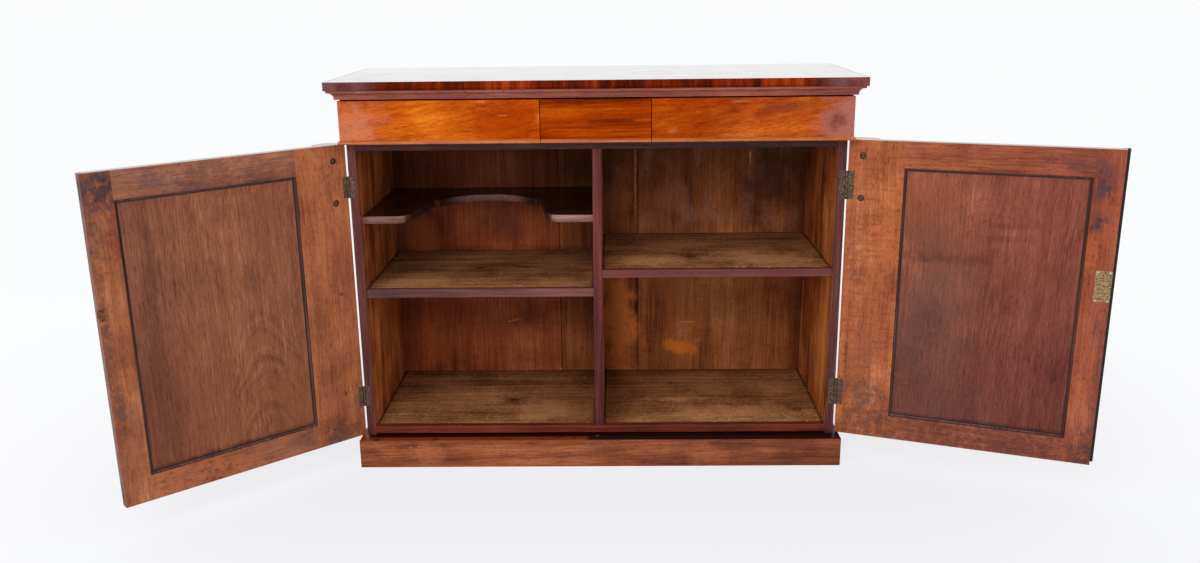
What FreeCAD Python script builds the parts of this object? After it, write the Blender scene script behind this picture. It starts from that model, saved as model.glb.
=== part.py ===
import FreeCAD, Part
import math
import operator
import os

import Sketcher

# A two-door chiffonier of frame-and-panel joinery, drawn with both doors standing open.
# X runs to the right, Y to the back and Z up. The origin is on the floor, on the centre line,
# in the plane of the case's front edges, which is also the plane of the door hinges' pins.
# Each door is drawn shut in coordinates of its own, whose origin is its hinge pin, and then
# turned open: "along" runs from the pin to the meeting edge and "out" from the pin forwards.

SIZES = {
    # Case
    "case_width": 1160.0,
    "case_depth": 406.0,
    "side_thickness": 21.0,
    "divider_thickness": 20.5,
    "back_thickness": 11.0,
    "back_rebate": 10.0,
    "back_middle_board_width": 215.5,
    "back_middle_board_offset": -3.25,
    "housing_depth": 6.0,
    "housing_filler_inset": 3.0,
    # Floor of the cupboard
    "bottom_thickness": 22.8,
    "bottom_lip_height": 19.0,
    "bottom_lip_depth": 16.0,
    # Rail over the doors and the dust board behind it
    "rail_height": 784.7,
    "rail_thickness": 18.0,
    "rail_depth": 60.0,
    # Shelves, by the height of their top faces
    "left_shelf_height": 448.5,
    "left_shelf_thickness": 21.5,
    "left_shelf_setback": 5.0,
    "right_shelf_height": 493.2,
    "right_shelf_thickness": 19.5,
    "right_shelf_setback": 3.5,
    "shelf_lip_depth": 12.0,
    # Shaped shelf in the left bay
    "shaped_shelf_height": 625.0,
    "shaped_shelf_thickness": 18.5,
    "shaped_shelf_setback": 22.0,
    "shaped_shelf_round": 2.0,
    "bay_depth": 271.0,
    "bay_half_chord": 123.0,
    "bay_rise": 77.0,
    "bay_tip_width": 5.0,
    "bay_notch_depth": 5.5,
    "lobe_front_half": 195.0,
    "lobe_nose_radius": 25.0,
    "lobe_curve_radius": 110.0,
    # Plinth
    "plinth_height": 71.5,
    "plinth_side_overhang": 13.5,
    "plinth_front_overhang": 35.9,
    "plinth_thickness": 20.0,
    "plinth_core_depth": 36.0,
    "corner_block_leg": 28.0,
    "corner_block_height": 58.0,
    # Frieze, its drawers and the tablet between them
    "frieze_gap": 0.7,
    "frieze_height": 99.1,
    "frieze_front_overhang": 29.1,
    "frieze_side_thickness": 6.7,
    "frieze_joint": 1.6,
    "tablet_width": 252.4,
    "seat_clearance": 0.4,
    "bead_height": 9.0,
    "bead_projection": 4.8,
    "bead_quirk": 1.6,
    "bead_base": 1.1,
    # Cornice and top
    "cornice_gap": 3.9,
    "cornice_height": 20.7,
    "cornice_projection": 19.1,
    "cornice_foot_projection": 5.7,
    "cornice_foot_height": 2.0,
    "cornice_fillet_height": 5.4,
    "cornice_step": 0.7,
    "top_thickness": 19.3,
    "top_overhang": 4.8,
    "edging_thickness": 3.0,
    "edge_chamfer": 0.8,
    # Drawer boxes
    "partition_thickness": 16.0,
    "drawer_front_lap": 2.2,
    "drawer_side_thickness": 10.0,
    "drawer_side_drop": 8.1,
    "drawer_clearance": 1.0,
    "runner_clearance": 0.3,
    "drawer_back_gap": 6.0,
    "drawer_bottom_thickness": 6.5,
    "drawer_bottom_rise": 7.0,
    "drawer_bottom_groove": 4.5,
    "kicker_width": 20.0,
    "kicker_clearance": 1.2,
    "dovetail_length": 12.0,
    "dovetail_height": 15.0,
    "dovetail_flare": 2.2,
    # Doors
    "pin_offset": 1.8,
    "pin_to_door": 1.8,
    "door_width": 579.0,
    "door_head_gap": 1.2,
    "door_thickness": 22.4,
    "door_foot_gap": 2.9,
    "door_seat": 0.4,
    "left_open_angle": 138.0,
    "right_open_angle": 160.0,
    "hinge_stile_width": 126.3,
    "lock_stile_width": 58.7,
    "door_top_rail_width": 61.2,
    "door_bottom_rail_width": 58.8,
    "tenon_length": 42.0,
    "tenon_thickness": 8.0,
    "tenon_shoulder": 9.0,
    "panel_thickness": 9.0,
    "panel_recess": 6.2,
    "panel_groove_depth": 9.0,
    "panel_edge_clearance": 1.5,
    "inner_moulding_width": 7.0,
    "outer_moulding_width": 11.0,
    "moulding_nose": 1.4,
    "inner_moulding_hollow": 3.1,
    "outer_moulding_hollow": 4.6,
    # Console and pilaster on each hinge stile
    "pilaster_inset": 1.2,
    "pilaster_width": 64.0,
    "pilaster_thickness": 6.0,
    "pilaster_foot_height": 62.0,
    "pilaster_foot_thickness": 9.0,
    "console_height": 165.0,
    "console_cap_height": 7.0,
    "console_cap_undercut": 2.3,
    "console_projection": 25.4,
    "console_bow": 13.0,
    "console_neck": 20.3,
    "console_bulge": 19.8,
    "console_bulge_drop": 33.0,
    "console_hollow": 14.9,
    "console_hollow_drop": 69.3,
    "console_waist": 7.5,
    "console_waist_drop": 102.3,
    "console_knee": 8.3,
    "console_knee_drop": 118.8,
    "console_scroll": 13.0,
    "console_scroll_rise": 16.5,
    "console_screw_inset": 34.5,
    "console_upper_screw_drop": 36.5,
    "console_lower_screw_drop": 135.5,
    "console_screw_head_radius": 5.8,
    "console_screw_head_height": 3.0,
    "console_screw_shank_radius": 2.5,
    "console_screw_reach": 31.0,
    "counterbore_radius": 7.8,
    "counterbore_depth": 7.0,
    # Astragal on the right-hand door
    "astragal_width": 17.0,
    "astragal_overlap": 8.2,
    "astragal_thickness": 5.6,
    "astragal_relief": 0.4,
    # Butt hinges
    "left_hinge_length": 50.8,
    "right_hinge_length": 66.7,
    "upper_left_hinge_drop": 76.1,
    "lower_left_hinge_rise": 76.2,
    "upper_right_hinge_drop": 73.0,
    "lower_right_hinge_rise": 74.2,
    "left_hinge_leaf_width": 14.2,
    "right_hinge_leaf_width": 17.6,
    "hinge_leaf_thickness": 1.5,
    "hinge_leaf_sink": 0.1,
    "knuckle_radius": 3.2,
    "knuckle_joint": 0.15,
    "knuckle_relief": 0.6,
    "hinge_pin_radius": 1.5,
    "hinge_pin_clearance": 0.06,
    "hinge_screw_head_radius": 2.8,
    "hinge_screw_shank_radius": 1.2,
    "hinge_screw_length": 11.0,
    "screw_slot_width": 0.8,
    "screw_slot_depth": 0.7,
    # Lock on the right-hand door and its keep on the left-hand one
    "lock_rise": 388.9,
    "lock_height": 71.7,
    "lock_plate_width": 34.2,
    "lock_plate_thickness": 1.5,
    "lock_case_thickness": 11.5,
    "lock_case_inset": 4.5,
    "lock_selvedge_thickness": 1.6,
    "lock_bolt_height": 10.0,
    "lock_bolt_thickness": 4.0,
    "lock_bolt_length": 22.0,
    "lock_bolt_rise": 40.0,
    "lock_bolt_clearance": 0.2,
    "lock_pin_radius": 2.4,
    "lock_pin_inset": 5.0,
    "lock_pin_height": 0.3,
    "keyhole_radius": 3.2,
    "keyhole_slot_width": 3.0,
    "keyhole_slot_length": 9.0,
    "keyhole_inset": 17.0,
    "escutcheon_rim": 2.0,
    "escutcheon_thickness": 1.6,
    "keep_height": 27.0,
    "keep_width": 12.0,
    "keep_thickness": 1.4,
    "keep_mortise_depth": 12.5,
    "keep_screw_head_radius": 1.9,
    "keep_screw_shank_radius": 1.0,
    "keep_screw_length": 9.0,
    "keep_screw_inset": 6.0,
    "keep_screw_end": 4.2,
    # Flush bolts in the left-hand door's meeting edge
    "bolt_inset": 4.9,
    "bolt_radius": 2.8,
    "bolt_length": 34.0,
    "bolt_clearance": 0.25,
    "bolt_end_gap": 0.6,
    "bolt_travel": 10.0,
    "bolt_plate_length": 46.0,
    "bolt_plate_width": 10.0,
    "bolt_plate_thickness": 1.5,
    "bolt_plate_end_gap": 10.0,
    "bolt_slot_width": 4.0,
    "bolt_knob_length": 7.0,
    "bolt_knob_rise": 0.3,
    "bolt_socket_depth": 14.0,
    "bolt_socket_radius": 3.4,
}

LEFT = -1
RIGHT = 1
DOVETAILS_ON_A_CORNER = 3
KNUCKLES_ON_A_HINGE = 5
# How far each screw of a leaf lies from the pin, as a share of the leaf's width.
SCREW_SHARES = (0.66, 0.5, 0.66)
# How far the middle of a rounded corner lies from its ends, as a share of its width.
QUARTER_LEAN = 1 - math.sqrt(0.5)
# Where the shaped shelf's nose and the slow curve after it end, as turns from its front.
NOSE_TURN = math.radians(60)
CURVE_TURN = math.radians(82)
# A mitre's cutting block, in depths of the moulding that it cuts.
MITRE_REACH = 8

doc = FreeCAD.newDocument("Chiffonier")
sheet = doc.addObject("Spreadsheet::Sheet", "Sizes")
for row, (size_name, size_value) in enumerate(SIZES.items(), start=1):
    sheet.set(f"A{row}", size_name)
    sheet.set(f"B{row}", str(size_value))
    sheet.setAlias(f"B{row}", size_name)
doc.recompute()

SIGNS = {
    "+": operator.add,
    "-": operator.sub,
    "*": operator.mul,
    "/": operator.truediv,
}


class Length:
    """A number together with the spreadsheet formula that gives it."""

    def __init__(self, value, formula):
        self.value = float(value)
        self.formula = formula

    def __add__(self, other):
        return joined(self, "+", other)

    def __radd__(self, other):
        return joined(other, "+", self)

    def __sub__(self, other):
        return joined(self, "-", other)

    def __rsub__(self, other):
        return joined(other, "-", self)

    def __mul__(self, other):
        return joined(self, "*", other)

    def __rmul__(self, other):
        return joined(other, "*", self)

    def __truediv__(self, other):
        return joined(self, "/", other)

    def __neg__(self):
        return joined(-1, "*", self)

    def __float__(self):
        return self.value


def length(value):
    return value if isinstance(value, Length) else Length(value, f"({float(value)!r})")


def joined(left, sign, right):
    left, right = length(left), length(right)
    return Length(SIGNS[sign](left.value, right.value), f"({left.formula} {sign} {right.formula})")


class Sheet:
    """Reads a size from the spreadsheet by its name."""

    def __getattr__(self, name):
        return Length(sheet.get(name), f"Sizes.{name}")


size = Sheet()


def bind(item, field, value):
    """Ties one field of an object to a formula in the spreadsheet's sizes."""
    item.setExpression(field, length(value).formula)


def place(item, x=0, y=0, z=0, rotation=None):
    item.Placement = FreeCAD.Placement(FreeCAD.Vector(), rotation or FreeCAD.Rotation())
    for field, value in (("x", x), ("y", y), ("z", z)):
        bind(item, f"Placement.Base.{field}", value)
    return item


def turned(axis, degrees):
    return FreeCAD.Rotation(FreeCAD.Vector(*axis), degrees)


UPRIGHT = turned((0, 0, 1), 0)
ALONG_Y = turned((1, 0, 0), -90)
TO_THE_FRONT = turned((1, 0, 0), 90)


def ordered(span):
    return span if float(span[0]) <= float(span[1]) else (span[1], span[0])


def board(x, y, z):
    """A rectangular piece that fills the span given along each axis."""
    item = doc.addObject("Part::Box", "Board")
    starts = []
    for field, span in (("Length", x), ("Width", y), ("Height", z)):
        low, high = ordered(span)
        bind(item, field, high - low)
        starts.append(low)
    return place(item, *starts)


def rod(radius, reach, x, y, z, rotation=UPRIGHT):
    """A cylinder from a point; it runs up unless it is turned."""
    item = doc.addObject("Part::Cylinder", "Rod")
    bind(item, "Radius", radius)
    bind(item, "Height", reach)
    return place(item, x, y, z, rotation)


def cone(radius, end_radius, reach, x, y, z, rotation=UPRIGHT):
    item = doc.addObject("Part::Cone", "Cone")
    bind(item, "Radius1", radius)
    bind(item, "Radius2", end_radius)
    bind(item, "Height", reach)
    return place(item, x, y, z, rotation)


def fused(*items):
    if len(items) == 1:
        return items[0]
    item = doc.addObject("Part::MultiFuse", "Joined")
    item.Shapes = list(items)
    item.Refine = True
    return item


def cut(item, *tools):
    if not tools:
        return item
    result = doc.addObject("Part::Cut", "Worked")
    result.Base = item
    result.Tool = fused(*tools)
    return result


def common(first, second):
    item = doc.addObject("Part::Common", "Common")
    item.Base = first
    item.Tool = second
    return item


def eased(item, *near):
    """Chamfers the straight edges whose middles lie at the points given."""
    doc.recompute()
    result = doc.addObject("Part::Chamfer", "Eased")
    result.Base = item
    wanted = [FreeCAD.Vector(*(float(value) for value in point)) for point in near]
    leg = size.edge_chamfer.value
    picked = []
    for point in wanted:
        gaps = [edge.CenterOfMass.distanceToPoint(point) for edge in item.Shape.Edges]
        picked.append((gaps.index(min(gaps)) + 1, leg, leg))
    result.Edges = picked
    return result


def rounded(item, radius, wanted):
    """Rounds the level edges for which wanted(middle) is true."""
    doc.recompute()
    result = doc.addObject("Part::Fillet", "Rounded")
    result.Base = item
    result.Edges = [
        (number, float(radius), float(radius))
        for number, edge in enumerate(item.Shape.Edges, start=1)
        if edge.BoundBox.ZLength < radius.value and wanted(edge.CenterOfMass)
    ]
    return result


def eased_board(x, y, z, *arrises):
    """A board with some of its arrises eased.

    An arris is named by where its middle lies on each span in turn: "a" where the span
    begins, "b" where it ends and "m" half way.
    """
    spans = (x, y, z)
    places = {
        "a": lambda span: span[0],
        "b": lambda span: span[1],
        "m": lambda span: (span[0] + span[1]) / 2,
    }
    near = [[places[end](span) for end, span in zip(arris, spans)] for arris in arrises]
    return eased(board(x, y, z), *near)


def arc(through, to):
    return ("arc", through, to)


def sketch(body, plane_role, start, runs):
    """A closed outline on one of a body's own planes, its corners tied to the sheet."""
    plane = next(f for f in body.Origin.OriginFeatures if f.Role == plane_role)
    item = body.newObject("Sketcher::SketchObject", "Outline")
    item.AttachmentSupport = [(plane, "")]
    item.MapMode = "FlatFace"
    corners = [start] + [run[2] if run[0] == "arc" else run for run in runs]
    corners = [tuple(length(value) for value in corner) for corner in corners]
    points = [FreeCAD.Vector(corner[0].value, corner[1].value, 0) for corner in corners]
    reversed_arcs = []
    for index, run in enumerate(runs):
        a, b = points[index], points[(index + 1) % len(points)]
        if run[0] == "arc":
            middle = FreeCAD.Vector(float(run[1][0]), float(run[1][1]), 0)
            clockwise = (middle - a).cross(b - middle).z < 0
            curve = Part.Arc(b, middle, a) if clockwise else Part.Arc(a, middle, b)
            number = item.addGeometry(curve, False)
            centre = item.Geometry[number].Center
            upright = abs(b.y - a.y) > abs(b.x - a.x)
            direction, offset = ("DistanceX", centre.x) if upright else ("DistanceY", centre.y)
            item.addConstraint(Sketcher.Constraint(direction, -1, 1, number, 3, offset))
        else:
            clockwise = False
            item.addGeometry(Part.LineSegment(a, b), False)
        reversed_arcs.append(clockwise)
    last = len(runs)
    if points[0].distanceToPoint(points[-1]) > 1e-6:
        item.addGeometry(Part.LineSegment(points[-1], points[0]), False)
        reversed_arcs.append(False)
        last += 1
    for index in range(last):
        after = (index + 1) % last
        leaves = 1 if reversed_arcs[index] else 2
        enters = 2 if reversed_arcs[after] else 1
        item.addConstraint(Sketcher.Constraint("Coincident", index, leaves, after, enters))
        begins = 2 if reversed_arcs[index] else 1
        for direction, value in zip(("DistanceX", "DistanceY"), corners[index]):
            fixed = Sketcher.Constraint(direction, -1, 1, index, begins, value.value)
            number = item.addConstraint(fixed)
            bind(item, f"Constraints[{number}]", value)
    return item


def prism(plane_role, start, runs, reach, rotation=UPRIGHT, at=(0, 0, 0)):
    """An outline made solid along its plane's normal."""
    body = doc.addObject("PartDesign::Body", "Body")
    outline = sketch(body, plane_role, start, runs)
    pad = body.newObject("PartDesign::Pad", "Pad")
    pad.Profile = outline
    bind(pad, "Length", reach)
    return place(body, *at, rotation=rotation)


def moulding(start, runs, reach, head, tail, depth):
    """A run of moulding along X with its back on the XZ plane and its face towards -Y.

    The profile is drawn in (out, up). head and tail say how each end is cut: "square",
    "outside" for a mitre round an outer corner, or "inside" for one in an inner corner.
    """
    before = depth if head == "outside" else 0
    after = depth if tail == "outside" else 0
    outline = (-start[0], start[1])
    flipped = [
        arc((-run[1][0], run[1][1]), (-run[2][0], run[2][1])) if run[0] == "arc" else (-run[0], run[1])
        for run in runs
    ]
    strip = prism("YZ_Plane", outline, flipped, before + reach + after, at=(-before, 0, 0))
    wedges = []
    for style, x, outside_turn in ((head, 0, 135), (tail, reach, -45)):
        if style != "square":
            turn = outside_turn if style == "outside" else 225
            wedge = doc.addObject("Part::Box", "Mitre")
            for field in ("Length", "Width", "Height"):
                bind(wedge, field, MITRE_REACH * depth)
            wedges.append(place(wedge, x, 0, start[1] - depth, turned((0, 0, 1), turn)))
    return cut(strip, *wedges)


class Frame:
    """Where a door's own coordinates lie, and which way its "along" runs."""

    def __init__(self, side, hinge_x, open_angle):
        self.side = side
        self.hinge_x = hinge_x
        self.open_angle = open_angle

    def along(self, value):
        return -self.side * length(value)

    def span(self, low, high):
        return (self.along(low), self.along(high))

    def out(self, low, high):
        return (-length(high), -length(low))


nodes = []


def node(name, *items, frame=None):
    """One named sub-part of the chiffonier, made of one or more separate solids."""
    group = doc.addObject("Part::Compound", "Node")
    group.Links = list(items)
    group.Label = name
    if frame:
        place(group, frame.hinge_x, 0, 0, turned((0, 0, frame.side), 1))
        bind(group, "Placement.Rotation.Angle", frame.open_angle)
    nodes.append(group)
    return group


# ---------------------------------------------------------------- places that pieces share
half_case = size.case_width / 2
inner_x = half_case - size.side_thickness
half_divider = size.divider_thickness / 2
back_inner_y = size.case_depth - size.back_thickness
bottom_top = size.plinth_height + size.bottom_thickness
rail_top = size.rail_height + size.rail_thickness
frieze_bottom = rail_top + size.frieze_gap
frieze_top = frieze_bottom + size.frieze_height
ground_bottom = frieze_top + size.cornice_gap
case_top = ground_bottom + size.cornice_height
tablet_half = size.tablet_width / 2
drawer_front_x = tablet_half + size.frieze_joint
frieze_x = half_case + size.frieze_side_thickness
partition_outer = drawer_front_x + size.drawer_front_lap
partition_inner = partition_outer - size.partition_thickness
pin_x = half_case + size.pin_offset
door_bottom = size.plinth_height + size.door_foot_gap
door_top = rail_top - size.door_head_gap
door_face = size.door_seat + size.door_thickness
stile_inner = size.pin_to_door + size.hinge_stile_width
door_edge = size.pin_to_door + size.door_width
lock_stile_inner = door_edge - size.lock_stile_width
bolt_along = door_edge - size.bolt_inset
bolt_out = size.door_seat + size.door_thickness / 2
lock_bottom = door_bottom + size.lock_rise
lock_bolt_out = size.door_seat + size.lock_case_thickness / 2
keep_middle = lock_bottom + size.lock_bolt_rise + size.lock_bolt_height / 2
keep_z = (keep_middle - size.keep_height / 2, keep_middle + size.keep_height / 2)
keep_screw_heights = (keep_z[0] + size.keep_screw_end, keep_z[1] - size.keep_screw_end)

left_frame = Frame(LEFT, -pin_x, size.left_open_angle)
right_frame = Frame(RIGHT, pin_x, size.right_open_angle)


def hinge_heights(side):
    """The length of a door's hinges and the heights of their lower ends."""
    if side == LEFT:
        reach, rise, drop = (
            size.left_hinge_length, size.lower_left_hinge_rise, size.upper_left_hinge_drop
        )
    else:
        reach, rise, drop = (
            size.right_hinge_length, size.lower_right_hinge_rise, size.upper_right_hinge_drop
        )
    return reach, (door_bottom + rise, door_top - drop - reach)


def leaf_width(side):
    return size.left_hinge_leaf_width if side == LEFT else size.right_hinge_leaf_width


# ---------------------------------------------------------------- plinth
plinth_x = half_case + size.plinth_side_overhang
plinth_inner_x = plinth_x - size.plinth_thickness
plinth_y = -size.plinth_front_overhang
plinth_inner_y = plinth_y + size.plinth_thickness
core_back_y = plinth_inner_y + size.plinth_core_depth
plinth_back_y = size.case_depth - size.plinth_thickness


def mitred_plinth_board(corners, arris_x, arris_y):
    """A plinth board from its mitred plan, its upper outer arris eased."""
    start, *runs = corners
    return eased(
        prism("XY_Plane", start, runs, size.plinth_height), (arris_x, arris_y, size.plinth_height)
    )


node(
    "plinth_front",
    mitred_plinth_board(
        [
            (-plinth_x, plinth_y),
            (plinth_x, plinth_y),
            (plinth_inner_x, plinth_inner_y),
            (-plinth_inner_x, plinth_inner_y),
        ],
        0,
        plinth_y,
    ),
)
plinth_sides = []
for side in (LEFT, RIGHT):
    plan = [
        (side * plinth_x, plinth_y),
        (side * plinth_x, size.case_depth),
        (side * plinth_inner_x, size.case_depth),
        (side * plinth_inner_x, plinth_inner_y),
    ]
    plinth_sides.append(
        mitred_plinth_board(
            plan if side == RIGHT else plan[::-1], side * plinth_x, (plinth_y + size.case_depth) / 2
        )
    )
node("plinth_sides", *plinth_sides)
socket_x = -(pin_x - bolt_along)
socket_y = -bolt_out
node(
    "plinth_rails",
    board((-plinth_inner_x, plinth_inner_x), (plinth_back_y, size.case_depth), (0, size.plinth_height)),
    cut(
        board((-plinth_inner_x, plinth_inner_x), (plinth_inner_y, core_back_y), (0, size.plinth_height)),
        rod(
            size.bolt_socket_radius,
            size.bolt_socket_depth,
            socket_x,
            socket_y,
            size.plinth_height - size.bolt_socket_depth,
        ),
    ),
)


def corner_block(side, y, towards):
    """A three-cornered glue block in a corner of the plinth."""
    x = side * plinth_inner_x
    leg_x = x - side * size.corner_block_leg
    leg_y = y + towards * size.corner_block_leg
    corners = [(x, y), (leg_x, y), (x, leg_y)]
    if side * towards > 0:
        corners.reverse()
    start, *runs = corners
    foot = size.plinth_height - size.corner_block_height
    return prism("XY_Plane", start, runs, size.corner_block_height, at=(0, 0, foot))


node(
    "plinth_blocks",
    *[
        corner_block(side, y, towards)
        for side in (LEFT, RIGHT)
        for y, towards in ((core_back_y, 1), (plinth_back_y, -1))
    ],
)

# ---------------------------------------------------------------- case
housing_x = inner_x + size.housing_depth
divider_housing_x = half_divider - size.housing_depth
left_shelf = (size.left_shelf_height - size.left_shelf_thickness, size.left_shelf_height)
right_shelf = (size.right_shelf_height - size.right_shelf_thickness, size.right_shelf_height)
shaped_shelf = (size.shaped_shelf_height - size.shaped_shelf_thickness, size.shaped_shelf_height)
rebate_x = inner_x + size.back_rebate


def case_hinge_recess(side):
    """What the case's front edge loses to the leaves and knuckles of its two hinges."""
    reach, feet = hinge_heights(side)
    pieces = []
    for foot in feet:
        leaf = side * (pin_x - leaf_width(side))
        depth = size.hinge_leaf_thickness + size.hinge_leaf_sink
        pieces.append(board((leaf, side * pin_x), (0, depth), (foot, foot + reach)))
        radius = size.knuckle_radius + size.knuckle_relief
        pieces.append(rod(radius, reach, side * pin_x, 0, foot))
        pieces += [
            screw_hole(side * x, size.hinge_leaf_sink, z, ALONG_Y)
            for x, z in leaf_screws(side, foot, pin_x, -1)
        ]
    return pieces


def leaf_screws(side, foot, origin, direction):
    """The places of a leaf's screws: one above another, the middle one nearer the pin."""
    reach, _ = hinge_heights(side)
    pitch = reach / len(SCREW_SHARES)
    return [
        (origin + direction * share * leaf_width(side), foot + (index + 0.5) * pitch)
        for index, share in enumerate(SCREW_SHARES)
    ]


def screw_hole(x, y, z, rotation):
    return rod(size.hinge_screw_shank_radius, size.hinge_screw_length, x, y, z, rotation)


def shelves_on(side):
    """The shelves of one compartment: the heights each fills and where its front edge lies."""
    if side == LEFT:
        return (left_shelf, size.left_shelf_setback), (shaped_shelf, size.shaped_shelf_setback)
    return ((right_shelf, size.right_shelf_setback),)


# The shaped shelf's housing runs on to the front of the left side, and a slip of wood fills it.
filler_spans = (
    (-housing_x, -inner_x),
    (size.housing_filler_inset, size.shaped_shelf_setback),
    shaped_shelf,
)


def case_side(side):
    whole = eased_board(
        (side * inner_x, side * half_case),
        (0, size.case_depth),
        (size.plinth_height, case_top),
        "aam",
        "bam",
    )
    rebate = board(
        (side * inner_x, side * rebate_x),
        (back_inner_y, size.case_depth),
        (size.plinth_height, case_top),
    )
    housings = [
        board((side * inner_x, side * housing_x), (setback, back_inner_y), shelf)
        for shelf, setback in shelves_on(side)
    ]
    if side == LEFT:
        housings.append(board(*filler_spans))
    return cut(whole, rebate, *housings, *case_hinge_recess(side))


node("housing_filler", board(*filler_spans))
node("left_side", case_side(LEFT))
node("right_side", case_side(RIGHT))

node(
    "bottom_board",
    board(
        (-inner_x, inner_x),
        (size.bottom_lip_depth, back_inner_y),
        (size.plinth_height, bottom_top),
    ),
)
node(
    "centre_divider",
    cut(
        eased_board(
            (-half_divider, half_divider),
            (0, back_inner_y),
            (bottom_top, size.rail_height),
            "aam",
            "bam",
        ),
        *[
            board((side * divider_housing_x, side * half_divider), (setback, back_inner_y), shelf)
            for side in (LEFT, RIGHT)
            for shelf, setback in shelves_on(side)
        ],
    ),
)
node(
    "door_rail",
    eased_board((-inner_x, inner_x), (0, size.rail_depth), (size.rail_height, rail_top), "maa"),
)
node(
    "dust_board",
    board((-inner_x, inner_x), (size.rail_depth, back_inner_y), (size.rail_height, rail_top)),
)

middle_left = size.back_middle_board_offset - size.back_middle_board_width / 2
middle_right = middle_left + size.back_middle_board_width
node(
    "back_boards",
    *[
        board((low, high), (back_inner_y, size.case_depth), (size.plinth_height, case_top))
        for low, high in (
            (-rebate_x, middle_left),
            (middle_left, middle_right),
            (middle_right, rebate_x),
        )
    ],
)


# The two plain shelves are pine, housed at both ends and lipped with mahogany in front.
shelf_boards = []
shelf_lippings = []
for x, height, setback in (
    ((-housing_x, -divider_housing_x), left_shelf, size.left_shelf_setback),
    ((divider_housing_x, housing_x), right_shelf, size.right_shelf_setback),
):
    lip_back = setback + size.shelf_lip_depth
    shelf_boards.append(board(x, (lip_back, back_inner_y), height))
    shelf_lippings.append(eased_board(x, (setback, lip_back), height, "maa", "mab"))
bottom_lipping = eased_board(
    (-inner_x, inner_x),
    (0, size.bottom_lip_depth),
    (bottom_top - size.bottom_lip_height, bottom_top),
    "maa",
    "mab",
)
node("shelf_boards", *shelf_boards)
node("lippings", *shelf_lippings, bottom_lipping)


def shaped_shelf_piece():
    """A shelf whose plan is two rounded lobes with a deep round bay between them.

    Each lobe has a tight nose and then a slow curve, from which its side runs straight
    back into a small notch. A blunt tip parts the notch from the bay. The front arrises
    are rounded.
    """
    centre = -(inner_x + half_divider) / 2
    front = size.shaped_shelf_setback
    bay_back = front + size.bay_depth
    bay_foot = bay_back - size.bay_rise
    notch_foot = bay_foot + size.bay_notch_depth

    def on_nose(turn):
        return (
            size.lobe_front_half - size.lobe_nose_radius * math.sin(turn),
            front + size.lobe_nose_radius * (1 - math.cos(turn)),
        )

    nose_half, nose_back = on_nose(NOSE_TURN)

    def on_curve(turn):
        return (
            nose_half - size.lobe_curve_radius * (math.sin(turn) - math.sin(NOSE_TURN)),
            nose_back + size.lobe_curve_radius * (math.cos(NOSE_TURN) - math.cos(turn)),
        )

    curve_half, curve_back = on_curve(CURVE_TURN)
    notch_half = curve_half - (notch_foot - curve_back) / math.tan(CURVE_TURN)
    tip_half = size.bay_half_chord + size.bay_tip_width
    notch_round = (notch_half - tip_half) / 2
    lobe = [
        (None, (size.lobe_front_half, front)),
        (on_nose(NOSE_TURN / 2), (nose_half, nose_back)),
        (on_curve((NOSE_TURN + CURVE_TURN) / 2), (curve_half, curve_back)),
        (None, (notch_half, notch_foot)),
        ((tip_half + notch_round, notch_foot + notch_round), (tip_half, notch_foot)),
        (None, (tip_half, bay_foot)),
        (None, (size.bay_half_chord, bay_foot)),
    ]

    def at(side, point):
        return (centre + side * point[0], point[1])

    def run(side, middle, end):
        return arc(at(side, middle), at(side, end)) if middle else at(side, end)

    left_end, right_end = -housing_x, -divider_housing_x
    runs = [run(LEFT, middle, end) for middle, end in lobe]
    runs.append(arc((centre, bay_back), at(RIGHT, lobe[-1][1])))
    for (middle, _), (_, end) in zip(lobe[:0:-1], lobe[-2::-1]):
        runs.append(run(RIGHT, middle, end))
    runs += [(right_end, front), (right_end, back_inner_y), (left_end, back_inner_y)]
    shelf = prism(
        "XY_Plane",
        (left_end, front),
        runs,
        size.shaped_shelf_thickness,
        at=(0, 0, shaped_shelf[0]),
    )

    def on_bay(middle):
        return abs(middle.x - centre.value) < 1e-6 and middle.y < bay_back.value

    def on_lobe(middle):
        from_end = min(abs(middle.x - left_end.value), abs(middle.x - right_end.value))
        return abs(middle.x - centre.value) > tip_half.value + 1e-6 and from_end > 1e-6

    bay_rounded = rounded(shelf, size.shaped_shelf_round, on_bay)
    return rounded(bay_rounded, size.shaped_shelf_round, on_lobe)


node("shaped_shelf", shaped_shelf_piece())

# ---------------------------------------------------------------- frieze framing
node(
    "drawer_partitions",
    *[
        board(
            (side * partition_inner, side * partition_outer),
            (0, back_inner_y),
            (rail_top, ground_bottom),
        )
        for side in (LEFT, RIGHT)
    ],
)
node(
    "head_frame",
    board((-frieze_x, frieze_x), (-size.frieze_front_overhang, 0), (ground_bottom, case_top)),
    board((-inner_x, inner_x), (0, size.rail_depth), (ground_bottom, case_top)),
    board((-inner_x, inner_x), (back_inner_y - size.rail_depth, back_inner_y), (ground_bottom, case_top)),
)
drawer_foot = rail_top + size.runner_clearance
drawer_side_height = size.frieze_height - size.drawer_side_drop
kicker_foot = drawer_foot + drawer_side_height + size.kicker_clearance
kickers = []
for side in (LEFT, RIGHT):
    for low, high in (
        (inner_x - size.kicker_width, inner_x),
        (partition_outer, partition_outer + size.kicker_width),
    ):
        kickers.append(board((side * low, side * high), (0, back_inner_y), (kicker_foot, ground_bottom)))
node("drawer_kickers", *kickers)
node(
    "side_friezes",
    *[
        board(
            (side * half_case, side * frieze_x),
            (0, size.case_depth),
            (frieze_bottom, case_top),
        )
        for side in (LEFT, RIGHT)
    ],
)

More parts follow.
